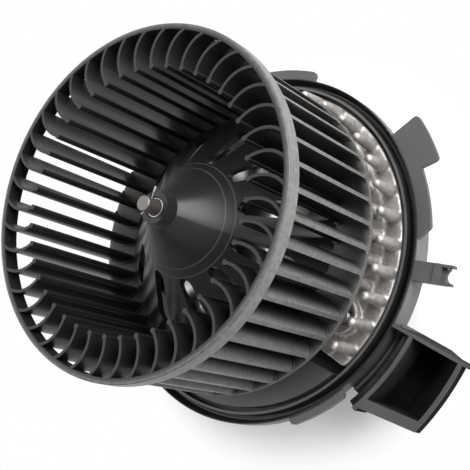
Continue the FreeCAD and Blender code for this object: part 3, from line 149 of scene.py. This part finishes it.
class Graph:
    """The node tree of one material or of the world."""

    def __init__(self, tree: Any) -> None:
        """Empties the tree.

        Args:
            tree: a node tree of a material or world.
        """
        self.tree = tree
        tree.nodes.clear()

    def node(self, kind: str, settings: Optional[dict[str, Any]] = None,
             inputs: Optional[dict[Any, Any]] = None, output: Union[int, str] = 0) -> Wire:
        """Adds a node, sets its options and joins or fills its inputs.

        Args:
            kind: the node's type name.
            settings: options by attribute.
            inputs: values or wires by the socket's name or number.
            output: the output socket that the returned wire reads.

        Returns:
            The chosen output of the new node.
        """
        made = self.tree.nodes.new(kind)
        for option, value in (settings or {}).items():
            setattr(made, option, value)
        for key, value in (inputs or {}).items():
            socket = made.inputs[key]
            if isinstance(value, Wire):
                self.tree.links.new(value.socket, socket)
            elif isinstance(value, tuple) and len(value) == 3 and socket.type == "RGBA":
                socket.default_value = (*value, 1.0)
            else:
                socket.default_value = value
        return Wire(self, made.outputs[output])

    def rays(self, *kinds: Ray) -> Wire:
        """Tells some kinds of ray from the rest.

        Args:
            kinds: the kinds to look for.

        Returns:
            1 for rays of these kinds and 0 for others.
        """
        known, *others = [self.node("ShaderNodeLightPath", output=kind.value) for kind in kinds]
        for wire in others:
            known = self.maths("MAXIMUM", known, wire)
        return known

    def maths(self, operation: str, first: Value, second: Value) -> Wire:
        """Adds a Math node for two values."""
        return self.node("ShaderNodeMath", {"operation": operation}, {0: first, 1: second})

    def place(self) -> Wire:
        """Object coordinates, in metres."""
        return self.node("ShaderNodeTexCoord", output="Object")

    def from_axis(self) -> Wire:
        """Measures how far a point lies from the shaft's axis.

        Returns:
            The distance, in metres.
        """
        at = self.place()
        across = self.node("ShaderNodeSeparateXYZ", inputs={"Vector": at}, output="X")
        along = self.node("ShaderNodeSeparateXYZ", inputs={"Vector": at}, output="Y")
        return (across * across + along * along) ** 0.5

    def height(self) -> Wire:
        """Height above the plane of the flange's rim, in metres."""
        return self.node("ShaderNodeSeparateXYZ", inputs={"Vector": self.place()}, output="Z")

    def turning_marks(self, scale: float) -> Wire:
        """Noise that changes with the distance from the shaft alone, as turned or spun surfaces show.

        Args:
            scale: marks per metre.

        Returns:
            The noise as a grey socket.
        """
        at = self.node("ShaderNodeCombineXYZ", inputs={"X": self.from_axis()})
        return self.node("ShaderNodeTexNoise", inputs={"Vector": at, "Scale": scale, "Detail": 3.0})

    def noise(self, scale: float, detail: float = 3.0, roughness: float = 0.55,
              stretch: tuple[float, float, float] = (1.0, 1.0, 1.0)) -> Wire:
        """Fractal noise between 0 and 1.

        Args:
            scale: patches per metre.
            detail: octaves.
            roughness: weight of the finer octaves.
            stretch: scale of the pattern along X, Y and Z.

        Returns:
            The noise as a grey socket.
        """
        at = self.node("ShaderNodeMapping", inputs={"Vector": self.place(), "Scale": stretch})
        inputs = {"Vector": at, "Scale": scale, "Detail": detail, "Roughness": roughness}
        return self.node("ShaderNodeTexNoise", inputs=inputs)

    def mix(self, factor: Value, first: Any, second: Any) -> Wire:
        """Mixes two colours.

        Args:
            factor: share of the second colour.
            first: colour or wire.
            second: colour or wire.

        Returns:
            The mixed colour.
        """
        return self.node("ShaderNodeMix", {"data_type": "RGBA"}, {0: factor, 6: first, 7: second}, output=2)

    def bump(self, height: Wire, strength: float, depth: float) -> Wire:
        """A normal from a height.

        Args:
            height: the height, between 0 and 1.
            strength: share of the effect.
            depth: metres between height 0 and height 1.

        Returns:
            The bumped normal.
        """
        return self.node("ShaderNodeBump", inputs={"Strength": strength, "Distance": depth, "Height": height})

    def principled(self, **sockets: Any) -> Wire:
        """Adds the surface shader and joins it to the output.

        Args:
            sockets: values or wires by socket name, with underscores for spaces.

        Returns:
            The shader.
        """
        inputs = {name.replace("_", " "): value for name, value in sockets.items()}
        shader = self.node("ShaderNodeBsdfPrincipled", inputs=inputs)
        self.node_output(shader)
        return shader

    def node_output(self, shader: Wire) -> None:
        """Joins a shader to the material's output."""
        made = self.tree.nodes.new("ShaderNodeOutputMaterial")
        self.tree.links.new(shader.socket, made.inputs["Surface"])


def shade(colour: Colour, factor: float) -> Colour:
    """A colour made lighter or darker by a factor."""
    red, green, blue = colour
    return (min(red * factor, 1.0), min(green * factor, 1.0), min(blue * factor, 1.0))


def new_graph(name: str) -> tuple[Any, Graph]:
    """Makes an empty material.

    Args:
        name: the material's name.

    Returns:
        The material and its graph.
    """
    material = bpy.data.materials.new(name)
    material.use_nodes = True
    return material, Graph(material.node_tree)


@dataclass(frozen=True)
class MouldedPlastic:
    """Filled black or coloured plastic: a fine skin, faint flow marks and dust in patches."""

    name: str
    colour: Colour
    roughness: float = 0.42
    spread: float = 0.10
    grain: float = 2600.0
    grain_depth: float = 0.02 * MM
    grain_strength: float = 0.35
    grain_roughness: float = 0.05
    flow_scale: float = 38.0
    flow_stretch: tuple[float, float, float] = (1.0, 1.0, 0.35)
    flow_shades: tuple[float, float] = (0.75, 1.3)
    dust: float = 0.10
    dust_scale: float = 14.0
    dust_steps: tuple[float, float] = (0.45, 0.75)
    dust_colour: Colour = (0.20, 0.19, 0.18)
    specular: float = 0.5

    def material(self) -> Any:
        """Builds the finish.

        Returns:
            The finish as a material.
        """
        material, graph = new_graph(self.name)
        flow = graph.noise(self.flow_scale, detail=4.0, stretch=self.flow_stretch)
        grain = graph.noise(self.grain, detail=2.0)
        patches = graph.noise(self.dust_scale, detail=5.0, roughness=0.65).above(*self.dust_steps)
        darker, lighter = [shade(self.colour, factor) for factor in self.flow_shades]
        base = graph.mix(flow, darker, lighter)
        dusty = graph.mix(patches * self.dust, self._wear_and_painted_light(graph, base), self.dust_colour)
        graph.principled(Base_Color=dusty, Roughness=self._roughness(graph, flow, grain),
                         Normal=graph.bump(grain, self.grain_strength, self.grain_depth),
                         Specular_IOR_Level=self.specular)
        return material

    def _wear_and_painted_light(self, graph: Graph, base: Wire) -> Wire:
        """Returns the base colour with the parts of the piece that are lighter or darker, from wear or as
        painted light and shade.
        """
        return base

    def _roughness(self, graph: Graph, flow: Wire, grain: Wire) -> Wire:
        """Returns the roughness all over the piece."""
        return self.roughness + (flow - 0.5) * self.spread + grain * self.grain_roughness


@dataclass(frozen=True)
class WheelPlastic(MouldedPlastic):
    """The wheel's plastic: polished on the hub cone; chalky, with a painted sheen, on the blades' outer edges
    and on the band.

    The band's chalk and painted sheen are strongest on its outer wall and weaker on its front face, as
    painted shade; thin rings at the cone's creases carry a painted highlight.
    """

    cone_reach: float = 52.0 * MM
    cone_fade: float = 1.12
    cone_roughness: float = 0.29
    cone_marks: float = 2400.0
    mark_spread: float = 0.07
    edge_start: float = 72.0 * MM
    edge_full: float = 79.6 * MM
    # lighter colour: real chalk mottling plus a painted sheen on the outer edges, and the cone's painted
    # highlight rings
    chalk_and_highlight_colour: Colour = (0.155, 0.151, 0.147)
    chalk_scale: float = 420.0
    chalk_steps: tuple[float, float] = (0.25, 0.75)
    chalk_least: float = 0.5
    band_low: float = 88.7 * MM
    band_blend: float = 0.4 * MM
    band_wall_start: float = 77.5 * MM
    face_start: float = 95.4 * MM
    face_full: float = 96.2 * MM
    face_share: float = 0.35
    # painted highlight: thin lighter rings along the cone's creases
    crease_radii: tuple[float, float] = (23.75 * MM, 27.0 * MM)
    crease_width: float = 0.35 * MM
    crease_highlight_share: float = 0.35

    def _wear_and_painted_light(self, graph: Graph, base: Wire) -> Wire:
        """Adds chalk and a painted sheen at the outer edges, and painted highlight rings at the cone's
        creases.

        Args:
            graph: the finish's graph.
            base: the plastic's own colour.

        Returns:
            The colour all over the piece.
        """
        radius = graph.from_axis()
        patches = graph.noise(self.chalk_scale, detail=5.0, roughness=0.65).above(*self.chalk_steps)
        chalk = patches * (1.0 - self.chalk_least) + self.chalk_least
        height = graph.height()
        in_band = height.above(self.band_low - self.band_blend, self.band_low)
        # painted sheen: the blades' outer edges and the band's outer wall are lightened as if catching light
        # and mirroring the floor; the chalk noise adds real mottling
        on_blades = radius.above(self.edge_start, self.edge_full) * (1 - in_band)
        on_band = radius.above(self.band_wall_start, self.edge_full) * in_band
        # painted shade: the band's front face gets less of the lighter colour than its outer wall
        face = 1 - height.above(self.face_start, self.face_full) * self.face_share
        chalk_and_sheen = graph.mix((on_blades + on_band) * chalk * face, base, self.chalk_and_highlight_colour)
        # painted highlight: lighter rings at the cone's creases
        crease_highlights: Value = 0.0
        for crease in self.crease_radii:
            start = radius.above(crease - self.crease_width, crease)
            crease_highlights = start * (1 - radius.above(crease, crease + self.crease_width)) + crease_highlights
        return graph.mix(crease_highlights * self.crease_highlight_share, chalk_and_sheen, self.chalk_and_highlight_colour)

    def _roughness(self, graph: Graph, flow: Wire, grain: Wire) -> Wire:
        """Lets the roughness fall to the cone's within its radius.

        Args:
            graph: the finish's graph.
            flow: the flow marks.
            grain: the fine skin.

        Returns:
            The roughness all over the piece.
        """
        matt = super()._roughness(graph, flow, grain)
        outside = graph.from_axis().above(self.cone_reach, self.cone_reach * self.cone_fade)
        marks = graph.turning_marks(self.cone_marks)
        polished = self.cone_roughness + (marks - 0.5) * self.mark_spread
        return polished + (matt - polished) * outside


@dataclass(frozen=True)
class FlangePlastic(MouldedPlastic):
    """The flange's plastic: satin, with painted light on the outer wall of its skirt and painted shade in its
    seal groove.
    """

    wall_radii: tuple[float, float] = (87.4 * MM, 88.4 * MM)
    wall_top: float = -0.9 * MM
    wall_low_y: float = -11.8 * MM
    # painted light on the skirt's outer wall
    lit_wall_colour: Colour = (0.105, 0.103, 0.1)
    groove_radii: tuple[float, float] = (79.9 * MM, 87.2 * MM)
    groove_top: float = 0.9 * MM
    # painted shade in the seal's groove
    groove_shade_colour: Colour = (0.007, 0.007, 0.008)
    side_blend: float = 0.4 * MM
    wall_blend: float = 0.5 * MM
    ring_blend: float = 0.2 * MM

    def _wear_and_painted_light(self, graph: Graph, base: Wire) -> Wire:
        """Lightens the skirt's outer wall as painted light and darkens the seal's groove as painted shade.

        Args:
            graph: the finish's graph.
            base: the plastic's own colour.

        Returns:
            The colour all over the piece.
        """
        radius = graph.from_axis()
        height = graph.height()
        across = graph.node("ShaderNodeSeparateXYZ", inputs={"Vector": graph.place()}, output="Y")
        # painted light: a lighter colour on the skirt's outer wall, short of the scoop, standing in for the
        # light it catches
        beside = across.above(self.wall_low_y - self.side_blend, self.wall_low_y)
        below = 1 - height.above(self.wall_top - self.wall_blend, self.wall_top)
        walled = graph.mix(self._between(radius, self.wall_radii) * below * beside, base, self.lit_wall_colour)
        # painted shade: the seal's groove is darkened below groove_top
        sunk = 1 - height.above(self.groove_top, self.groove_top + self.ring_blend)
        return graph.mix(self._between(radius, self.groove_radii) * sunk, walled, self.groove_shade_colour)

    def _between(self, radius: Wire, limits: tuple[float, float]) -> Wire:
        """Returns 1 where a radius lies between two limits and 0 elsewhere."""
        inner, outer = [radius.above(limit, limit + self.ring_blend) for limit in limits]
        return inner * (1 - outer)


@dataclass(frozen=True)
class CoverPlastic(MouldedPlastic):
    """The rear pieces' plastic: satin on the scoop's front edges, and near black and rough inside the scoop
    as painted shade.
    """

    # painted shade inside the scoop: a near-black colour below its front edges
    painted_shade_top: float = 0.2 * MM
    painted_shade_start: float = 89.5 * MM
    painted_shade_colour: Colour = (0.002, 0.002, 0.0025)
    inside_roughness: float = 0.95
    painted_shade_share: float = 0.95
    painted_shade_fade: float = 0.6 * MM
    painted_shade_blend: float = 1.0 * MM

    def _wear_and_painted_light(self, graph: Graph, base: Wire) -> Wire:
        """Returns the base colour, nearly black below the scoop's front edges as painted shade."""
        return graph.mix(self._inside(graph) * self.painted_shade_share, base, self.painted_shade_colour)

    def _roughness(self, graph: Graph, flow: Wire, grain: Wire) -> Wire:
        """Returns the roughness, which rises inside the scoop."""
        satin = super()._roughness(graph, flow, grain)
        return satin + (self.inside_roughness - satin) * self._inside(graph)

    def _inside(self, graph: Graph) -> Wire:
        """Returns 1 beside the flange and below the scoop's front edges, and 0 elsewhere."""
        beyond = graph.from_axis().above(self.painted_shade_start, self.painted_shade_start + self.painted_shade_blend)
        return (1 - graph.height().above(self.painted_shade_top, self.painted_shade_top + self.painted_shade_fade)) * beyond


@dataclass(frozen=True)
class SatinMetal:
    """Bare or plated metal with fine scratches along one direction and soft stains."""

    name: str
    colour: Colour
    roughness: float = 0.3
    stain: float = 0.3
    stain_scale: float = 60.0
    stain_shade: float = 0.55
    stain_roughness: float = 0.08
    scratch_scale: float = 900.0
    scratch_stretch: tuple[float, float, float] = (1.0, 1.0, 0.04)
    scratch_roughness: float = 0.12
    bump_strength: float = 0.3
    bump_depth: float = 0.012 * MM
    metallic: float = 1.0

    def material(self) -> Any:
        """Builds the finish.

        Returns:
            The finish as a material.
        """
        material, graph = new_graph(self.name)
        scratch = graph.noise(self.scratch_scale, detail=2.0, stretch=self.scratch_stretch)
        cloud = graph.noise(self.stain_scale, detail=5.0, roughness=0.6)
        base = graph.mix(cloud * self.stain, self.colour, shade(self.colour, self.stain_shade))
        scratched = self.roughness + (scratch - 0.5) * self.scratch_roughness
        graph.principled(Base_Color=base, Metallic=self.metallic,
                         Roughness=scratched + cloud * self.stain_roughness,
                         Normal=graph.bump(scratch, self.bump_strength, self.bump_depth))
        return material


@dataclass(frozen=True)
class CastMetal:
    """Die-cast aluminium: pale, uneven, with a sandy skin, flow lumps and darker stains."""

    name: str
    colour: Colour
    stain_colour: Colour
    roughness: float = 0.48
    metallic: float = 0.8
    lump_scale: float = 190.0
    lump_strength: float = 0.7
    lump_depth: float = 0.35 * MM
    skin_scale: float = 2200.0
    skin_share: float = 0.03
    skin_roughness: float = 0.1
    stain_scale: float = 120.0
    stain_steps: tuple[float, float] = (0.42, 0.66)
    stain_share: float = 0.8
    stain_roughness: float = 0.12

    def material(self) -> Any:
        """Builds the finish.

        Returns:
            The finish as a material.
        """
        material, graph = new_graph(self.name)
        skin = graph.noise(self.skin_scale, detail=3.0)
        lumps = graph.noise(self.lump_scale, detail=3.0, roughness=0.6)
        stains = graph.noise(self.stain_scale, detail=5.0, roughness=0.7).above(*self.stain_steps)
        base = graph.mix(stains * self.stain_share, self.colour, self.stain_colour)
        uneven = graph.bump(lumps + skin * self.skin_share, self.lump_strength, self.lump_depth)
        stained = self.roughness + stains * self.stain_roughness
        graph.principled(Base_Color=base, Metallic=self.metallic, Normal=uneven,
                         Roughness=stained + (skin - 0.5) * self.skin_roughness)
        return material


@dataclass(frozen=True)
class Rubber:
    """Soft black rubber with a dull, slightly uneven skin."""

    name: str
    colour: Colour
    roughness: float = 0.62
    skin_scale: float = 1400.0
    skin_strength: float = 0.4
    skin_depth: float = 0.03 * MM
    skin_roughness: float = 0.15
    bloom_scale: float = 90.0
    bloom_steps: tuple[float, float] = (0.4, 0.8)
    bloom_share: float = 0.25
    bloom_colour: Colour = (0.09, 0.09, 0.09)
    specular: float = 0.35

    def material(self) -> Any:
        """Builds the finish.

        Returns:
            The finish as a material.
        """
        material, graph = new_graph(self.name)
        skin = graph.noise(self.skin_scale, detail=3.0)
        bloom = graph.noise(self.bloom_scale, detail=4.0).above(*self.bloom_steps)
        base = graph.mix(bloom * self.bloom_share, self.colour, self.bloom_colour)
        graph.principled(Base_Color=base, Roughness=self.roughness + (skin - 0.5) * self.skin_roughness,
                         Normal=graph.bump(skin, self.skin_strength, self.skin_depth),
                         Specular_IOR_Level=self.specular)
        return material


@dataclass(frozen=True)
class WoundWire:
    """Enamelled copper wire in close turns."""

    name: str
    colour: Colour
    wave_scale: float = 70.0
    wave_distortion: float = 1.5
    gap_shade: float = 0.5
    gap_roughness: float = 0.2
    roughness: float = 0.32
    metallic: float = 0.7
    turn_strength: float = 0.6
    turn_depth: float = 0.15 * MM

    def material(self) -> Any:
        """Builds the finish.

        Returns:
            The finish as a material.
        """
        material, graph = new_graph(self.name)
        settings = {"wave_type": "BANDS", "bands_direction": "DIAGONAL"}
        inputs = {"Vector": graph.place(), "Scale": self.wave_scale, "Distortion": self.wave_distortion}
        turns = graph.node("ShaderNodeTexWave", settings, inputs)
        base = graph.mix(turns, shade(self.colour, self.gap_shade), self.colour)
        graph.principled(Base_Color=base, Metallic=self.metallic,
                         Roughness=self.roughness + (1 - turns) * self.gap_roughness,
                         Normal=graph.bump(turns, self.turn_strength, self.turn_depth))
        return material


class Finishes:
    """Every finish of the blower, by the piece that wears it."""

    wheel = WheelPlastic("wheel_plastic", (0.008, 0.008, 0.009), roughness=0.34, dust=0.02, specular=0.3)
    flange = FlangePlastic("flange_plastic", (0.055, 0.055, 0.057), roughness=0.42, specular=0.4)
    cover = CoverPlastic("cover_plastic", (0.052, 0.052, 0.053), roughness=0.5, specular=0.1)
    seal = Rubber("seal_rubber", (0.014, 0.014, 0.015), roughness=0.5)
    damper = Rubber("damper_rubber", (0.02, 0.02, 0.02))
    casting = CastMetal("cast_aluminium", (0.47, 0.45, 0.44), (0.2, 0.187, 0.18))
    shaft = SatinMetal("shaft_steel", (0.155, 0.141, 0.138), roughness=0.5)
    wire = SatinMetal("clip_wire", (0.30, 0.29, 0.28), roughness=0.35)
    zinc = SatinMetal("zinc_plate", (0.62, 0.62, 0.64), roughness=0.32, scratch_stretch=(1.0, 1.0, 1.0))
    can = SatinMetal("can_steel", (0.74, 0.72, 0.70), roughness=0.3)
    laminations = SatinMetal("laminated_steel", (0.36, 0.36, 0.37), scratch_stretch=(0.02, 0.02, 1.0))
    bronze = SatinMetal("sintered_bronze", (0.5, 0.36, 0.2), roughness=0.5, scratch_stretch=(1.0, 1.0, 1.0))
    brass = SatinMetal("brass_sheet", (0.75, 0.6, 0.32), roughness=0.3)
    tin = SatinMetal("tinned_brass", (0.72, 0.71, 0.68), roughness=0.28)
    bars = SatinMetal("copper_bars", (0.78, 0.44, 0.28), roughness=0.28)
    ferrite = MouldedPlastic("ferrite", (0.05, 0.05, 0.055), roughness=0.5)
    carbon = MouldedPlastic("carbon", (0.03, 0.03, 0.03), roughness=0.4)
    fibre = MouldedPlastic("pressed_fibre", (0.22, 0.13, 0.06), roughness=0.6)
    board = MouldedPlastic("circuit_board", (0.02, 0.14, 0.06), roughness=0.3)
    epoxy = MouldedPlastic("epoxy_case", (0.02, 0.02, 0.02), roughness=0.5)
    sleeve = MouldedPlastic("capacitor_sleeve", (0.03, 0.05, 0.16), roughness=0.25)
    winding = WoundWire("copper_winding", (0.72, 0.34, 0.15))


def deselect() -> None:
    """Leaves edit mode and clears the selection."""
    if bpy.context.object and bpy.context.object.mode != "OBJECT":
        bpy.ops.object.mode_set(mode="OBJECT")
    bpy.ops.object.select_all(action="DESELECT")


def make_active(piece: Any) -> None:
    """Selects one object alone and makes it the active one.

    Args:
        piece: the object.
    """
    deselect()
    piece.select_set(True)
    bpy.context.view_layer.objects.active = piece


def dress(piece: Any, material: Any) -> None:
    """Gives a piece one material all over."""
    piece.data.materials.clear()
    piece.data.materials.append(material)


@dataclass(frozen=True)
class Softened:
    """How a moulded node is drawn: a merged copy, smooth between creases, with rounded edges."""

    crease_deg: float = 32.0
    flat_deg: float = 0.4
    sharp_deg: float = 40.0
    edge_round: float = 0.0
    round_segments: int = 2
    merge: float = 0.001 * MM

    def copy_of(self, node: str, name: str) -> Any:
        """Makes the copy.

        Args:
            node: name of the node.
            name: name of the new piece.

        Returns:
            The new object.
        """
        source = frame["nodes"][node]
        piece = bpy.data.objects.new(name, source.data.copy())
        bpy.context.scene.collection.objects.link(piece)
        make_active(piece)
        bpy.ops.mesh.customdata_custom_splitnormals_clear()
        bpy.ops.object.mode_set(mode="EDIT")
        bpy.ops.mesh.select_all(action="SELECT")
        bpy.ops.mesh.remove_doubles(threshold=self.merge)
        bpy.ops.mesh.dissolve_limited(angle_limit=math.radians(self.flat_deg))
        bpy.ops.object.mode_set(mode="OBJECT")
        bpy.ops.object.shade_smooth_by_angle(angle=math.radians(self.crease_deg))
        if self.edge_round:
            self._round_edges(piece)
        return piece

    def _round_edges(self, piece: Any) -> None:
        """Rounds the sharp edges of a piece with a bevel modifier and applies it.

        Args:
            piece: the active object.
        """
        bevel = piece.modifiers.new("edge_round", "BEVEL")
        bevel.width = self.edge_round
        bevel.segments = self.round_segments
        bevel.limit_method = "ANGLE"
        bevel.angle_limit = math.radians(self.sharp_deg)
        bevel.harden_normals = True
        bpy.ops.object.modifier_apply(modifier=bevel.name)


@dataclass(frozen=True)
class Cast:
    """How a die-cast node is drawn: remeshed, its pins swelled a little and every edge run soft."""

    voxel: float = 0.5 * MM
    swell_above: float = 2.0 * MM
    swell: float = 0.35 * MM
    smooth_steps: int = 5

    def copy_of(self, node: str, name: str) -> Any:
        """Makes the copy.

        Args:
            node: name of the node.
            name: name of the new piece.

        Returns:
            The new object.
        """
        piece = Softened().copy_of(node, name)
        remesh = piece.modifiers.new("cast_skin", "REMESH")
        remesh.mode = "VOXEL"
        remesh.voxel_size = self.voxel
        bpy.ops.object.modifier_apply(modifier=remesh.name)
        pins = piece.vertex_groups.new(name="pins")
        pins.add([v.index for v in piece.data.vertices if v.co.z > self.swell_above], 1.0, "REPLACE")
        swell = piece.modifiers.new("swelled_pins", "DISPLACE")
        swell.vertex_group = pins.name
        swell.mid_level = 0.0
        swell.strength = self.swell
        bpy.ops.object.modifier_apply(modifier=swell.name)
        soften = piece.modifiers.new("run_edges", "SMOOTH")
        soften.iterations = self.smooth_steps
        bpy.ops.object.modifier_apply(modifier=soften.name)
        piece.vertex_groups.clear()
        bpy.ops.object.shade_smooth()
        LOG.info("cast %s with %d faces", node, len(piece.data.polygons))
        return piece


class SubAssembly:
    """A group of pieces that is built and dressed together."""

    def dress_nodes(self, finishes: dict[str, Any]) -> None:
        """Dresses nodes that keep their own mesh.

        Args:
            finishes: a finish for each node's name.
        """
        for node, finish in finishes.items():
            dress(frame["nodes"][node], finish.material())
            LOG.info("dressed %s in %s", node, finish.name)

    def soften(self, node: str, body: Body, finish: Any, slot: str, look: Union[Softened, Cast]) -> Any:
        """Replaces a node by a softened copy of itself.

        Args:
            node: the node's name.
            body: the body that it rides on.
            finish: its finish.
            slot: its material slot in the record; not used.
            look: how it is softened.

        Returns:
            The new piece.
        """
        piece = look.copy_of(node, node + "_moulding")
        dress(piece, finish.material())
        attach(piece, body.value)
        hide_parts(node)
        LOG.info("softened %s", node)
        return piece


@dataclass
class BlowerWheel(SubAssembly):
    """The wheel with its clip, and the shaft that carries it."""

    def build(self) -> None:
        """Builds and dresses the wheel, the clip and the shaft."""
        self.dress_nodes({"impeller": Finishes.wheel, "shaft": Finishes.shaft, "shaft_clip": Finishes.wire})


@dataclass
class Flange(SubAssembly):
    """The mounting flange, its seal and the heat sink."""

    edge_round: float = 0.25 * MM

    def build(self) -> None:
        """Builds and dresses the flange's pieces."""
        look = Softened(edge_round=self.edge_round)
        self.soften("mounting_flange", Body.HOUSING, Finishes.flange, "black_housing_plastic", look)
        self.soften("heat_sink", Body.HOUSING, Finishes.casting, "cast_aluminium", Cast())
        self.dress_nodes({
            "rim_seal": Finishes.seal,
            "heat_sink_screws": Finishes.zinc,
        })


@dataclass
class RearSide(SubAssembly):
    """The rear cover with its scoop, socket and screws."""

    edge_round: float = 0.25 * MM

    def build(self) -> None:
        """Builds and dresses the pieces of the rear."""
        look = Softened(edge_round=self.edge_round)
        self.soften("rear_cover", Body.HOUSING, Finishes.cover, "dark_cover_plastic", look)
        self.soften("air_duct", Body.HOUSING, Finishes.cover, "dark_cover_plastic", look)
        self.soften("regulator_housing", Body.HOUSING, Finishes.cover, "dark_cover_plastic", look)
        self.dress_nodes({
            "cover_screws": Finishes.zinc,
            "connector_terminals": Finishes.tin,
            "regulator_board": Finishes.board,
            "power_transistors": Finishes.epoxy,
            "smoothing_capacitor": Finishes.sleeve,
        })


@dataclass
class Motor(SubAssembly):
    """The motor's can and what it holds."""

    def build(self) -> None:
        """Builds and dresses the motor."""
        self.dress_nodes({
            "motor_can": Finishes.can,
            "rubber_dampers": Finishes.damper,
            "front_bearing": Finishes.bronze,
            "rear_bearing": Finishes.bronze,
            "magnet_left": Finishes.ferrite,
            "magnet_right": Finishes.ferrite,
            "magnet_clips": Finishes.wire,
            "end_plate": Finishes.zinc,
            "armature_core": Finishes.laminations,
            "armature_windings": Finishes.winding,
            "commutator": Finishes.bars,
            "thrust_washers": Finishes.fibre,
            "brush_card": Finishes.fibre,
            "brush_holder_a": Finishes.brass,
            "brush_holder_b": Finishes.brass,
            "brush_a": Finishes.carbon,
            "brush_b": Finishes.carbon,
            "brush_spring_a": Finishes.wire,
            "brush_spring_b": Finishes.wire,
            "suppression_chokes": Finishes.winding,
        })
        self._shorten_springs()

    def _shorten_springs(self) -> None:
        """Gives each brush spring its own mesh and works out how far it would shorten; nothing applies that
        length, so the springs keep their shape.
        """
        for joint in frame["record"]["behaviour"]["joints"]:
            for spring in joint.get("deforming_nodes", []):
                node, fixed_end = spring["node"], spring["fixed_end_x_m"]
                low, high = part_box(node)
                length = abs(fixed_end) - min(abs(low[0]), abs(high[0]))
                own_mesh(frame["nodes"][node])


@dataclass
class Lamp:
    """A soft box that faces a point of the blower."""

    name: str
    place: tuple[float, float, float]
    size: tuple[float, float]
    watts: float
    aim: tuple[float, float, float] = (0.0, 0.0, 0.04)

    def build(self) -> None:
        """Adds the lamp."""
        light = bpy.data.lights.new(self.name, "AREA")
        light.shape = "RECTANGLE"
        light.size, light.size_y = self.size
        light.energy = self.watts
        lamp = bpy.data.objects.new(self.name, light)
        bpy.context.scene.collection.objects.link(lamp)
        lamp.location = self.place
        lamp.rotation_euler = (Vector(self.aim) - Vector(self.place)).to_track_quat("-Z", "Y").to_euler()


@dataclass
class Studio:
    """Camera, floor, world and lamps.

    The floor shows its own shade near the blower and runs to white between white_start and white_full.
    """

    camera_place: tuple[float, float, float] = (0.32387, -0.00880, 0.43911)
    camera_aim: tuple[float, float, float] = (0.03124, 0.00051, 0.06)
    camera_roll_deg: float = -68.74
    focal_mm: float = 83.54
    sensor_mm: float = 36.0
    far_clip: float = 20.0
    floor_reach: float = 3.0
    floor_colour: Colour = (0.85, 0.85, 0.85)
    floor_lift: float = 0.12
    white_start: float = 0.087
    white_full: float = 0.118
    zenith: float = 0.1
    horizon: float = 0.6
    fade_heights: tuple[float, float] = (0.2, 0.6)

    def build(self) -> None:
        """Builds the studio."""
        self._camera()
        self._floor()
        self._world()
        for lamp in self._lamps():
            lamp.build()
        view = bpy.context.scene.view_settings
        view.view_transform = "Standard"

    def _camera(self) -> None:
        """Adds the camera at the photograph's viewing angle."""
        data = bpy.data.cameras.new("camera")
        data.lens = self.focal_mm
        data.sensor_width = self.sensor_mm
        data.clip_end = self.far_clip
        camera = bpy.data.objects.new("camera", data)
        bpy.context.scene.collection.objects.link(camera)
        look = Vector(self.camera_aim) - Vector(self.camera_place)
        turn = look.to_track_quat("-Z", "Y").to_matrix()
        roll = Matrix.Rotation(math.radians(self.camera_roll_deg), 3, "Z")
        camera.matrix_world = Matrix.Translation(self.camera_place) @ (turn @ roll).to_4x4()
        bpy.context.scene.camera = camera

    def _floor(self) -> None:
        """Adds the pale floor that the blower stands on."""
        level = CAD_BOUNDS[0][2]
        deselect()
        bpy.ops.mesh.primitive_plane_add(size=2 * self.floor_reach, location=(0, 0, 0))
        floor = bpy.context.object
        floor.name = "floor"
        floor.data.transform(Matrix.Translation((0, 0, level)))
        material, graph = new_graph("floor_white")
        seen = graph.rays(Ray.CAMERA)
        mirrored = graph.rays(Ray.GLOSSY, Ray.TRANSMISSION)
        matt = graph.node("ShaderNodeBsdfDiffuse", inputs={"Color": self.floor_colour})
        glow = graph.node("ShaderNodeEmission", inputs={"Color": WHITE, "Strength": 1.0})
        lift_inputs = {"Color": WHITE, "Strength": self.floor_lift}
        lift = graph.node("ShaderNodeEmission", inputs=lift_inputs)
        lifted = graph.node("ShaderNodeAddShader", inputs={0: matt, 1: lift})
        away = graph.from_axis().above(self.white_start, self.white_full)
        clear = graph.node("ShaderNodeMixShader", inputs={0: away, 1: lifted, 2: glow})
        plain = graph.node("ShaderNodeMixShader", inputs={0: seen, 1: matt, 2: clear})
        graph.node_output(graph.node("ShaderNodeMixShader", inputs={0: mirrored, 1: plain, 2: glow}))
        floor.data.materials.append(material)

    def _world(self) -> None:
        """Sets a surround that is white where it is seen or mirrored, and lights the blower dimly."""
        world = bpy.data.worlds.new("white_room")
        bpy.context.scene.world = world
        world.use_nodes = True
        graph = Graph(world.node_tree)
        seen = graph.rays(Ray.CAMERA, Ray.GLOSSY, Ray.TRANSMISSION)
        way = graph.node("ShaderNodeTexCoord", output="Generated")
        rise = graph.node("ShaderNodeSeparateXYZ", inputs={"Vector": way}, output="Z")
        fill = self.horizon + (self.zenith - self.horizon) * rise.above(*self.fade_heights)
        back_inputs = {"Color": WHITE, "Strength": fill + seen * (1.0 - fill)}
        back = graph.node("ShaderNodeBackground", inputs=back_inputs)
        made = graph.tree.nodes.new("ShaderNodeOutputWorld")
        graph.tree.links.new(back.socket, made.inputs["Surface"])

    def _lamps(self) -> list[Lamp]:
        """The soft boxes: key and rim behind the blower, top on its +Y side, side between +X and +Y."""
        return [
            Lamp("key_box", (-0.85, 0.05, 1.15), (1.4, 1.4), 7.0),
            Lamp("top_box", (0.15, 0.75, 0.95), (0.6, 0.5), 7.0),
            Lamp("rim_box", (-0.45, -0.65, 0.75), (0.6, 0.5), 3.5),
            Lamp("side_box", (0.80, 0.66, 0.60), (1.1, 0.9), 30.0),
        ]


def main() -> None:
    """Builds the blower and its studio."""
    logging.basicConfig(level=logging.INFO, format="%(message)s")
    for part in (BlowerWheel(), Flange(), RearSide(), Motor()):
        part.build()
        LOG.info("built %s", type(part).__name__)
    Studio().build()


if __name__ == "__main__":
    main()
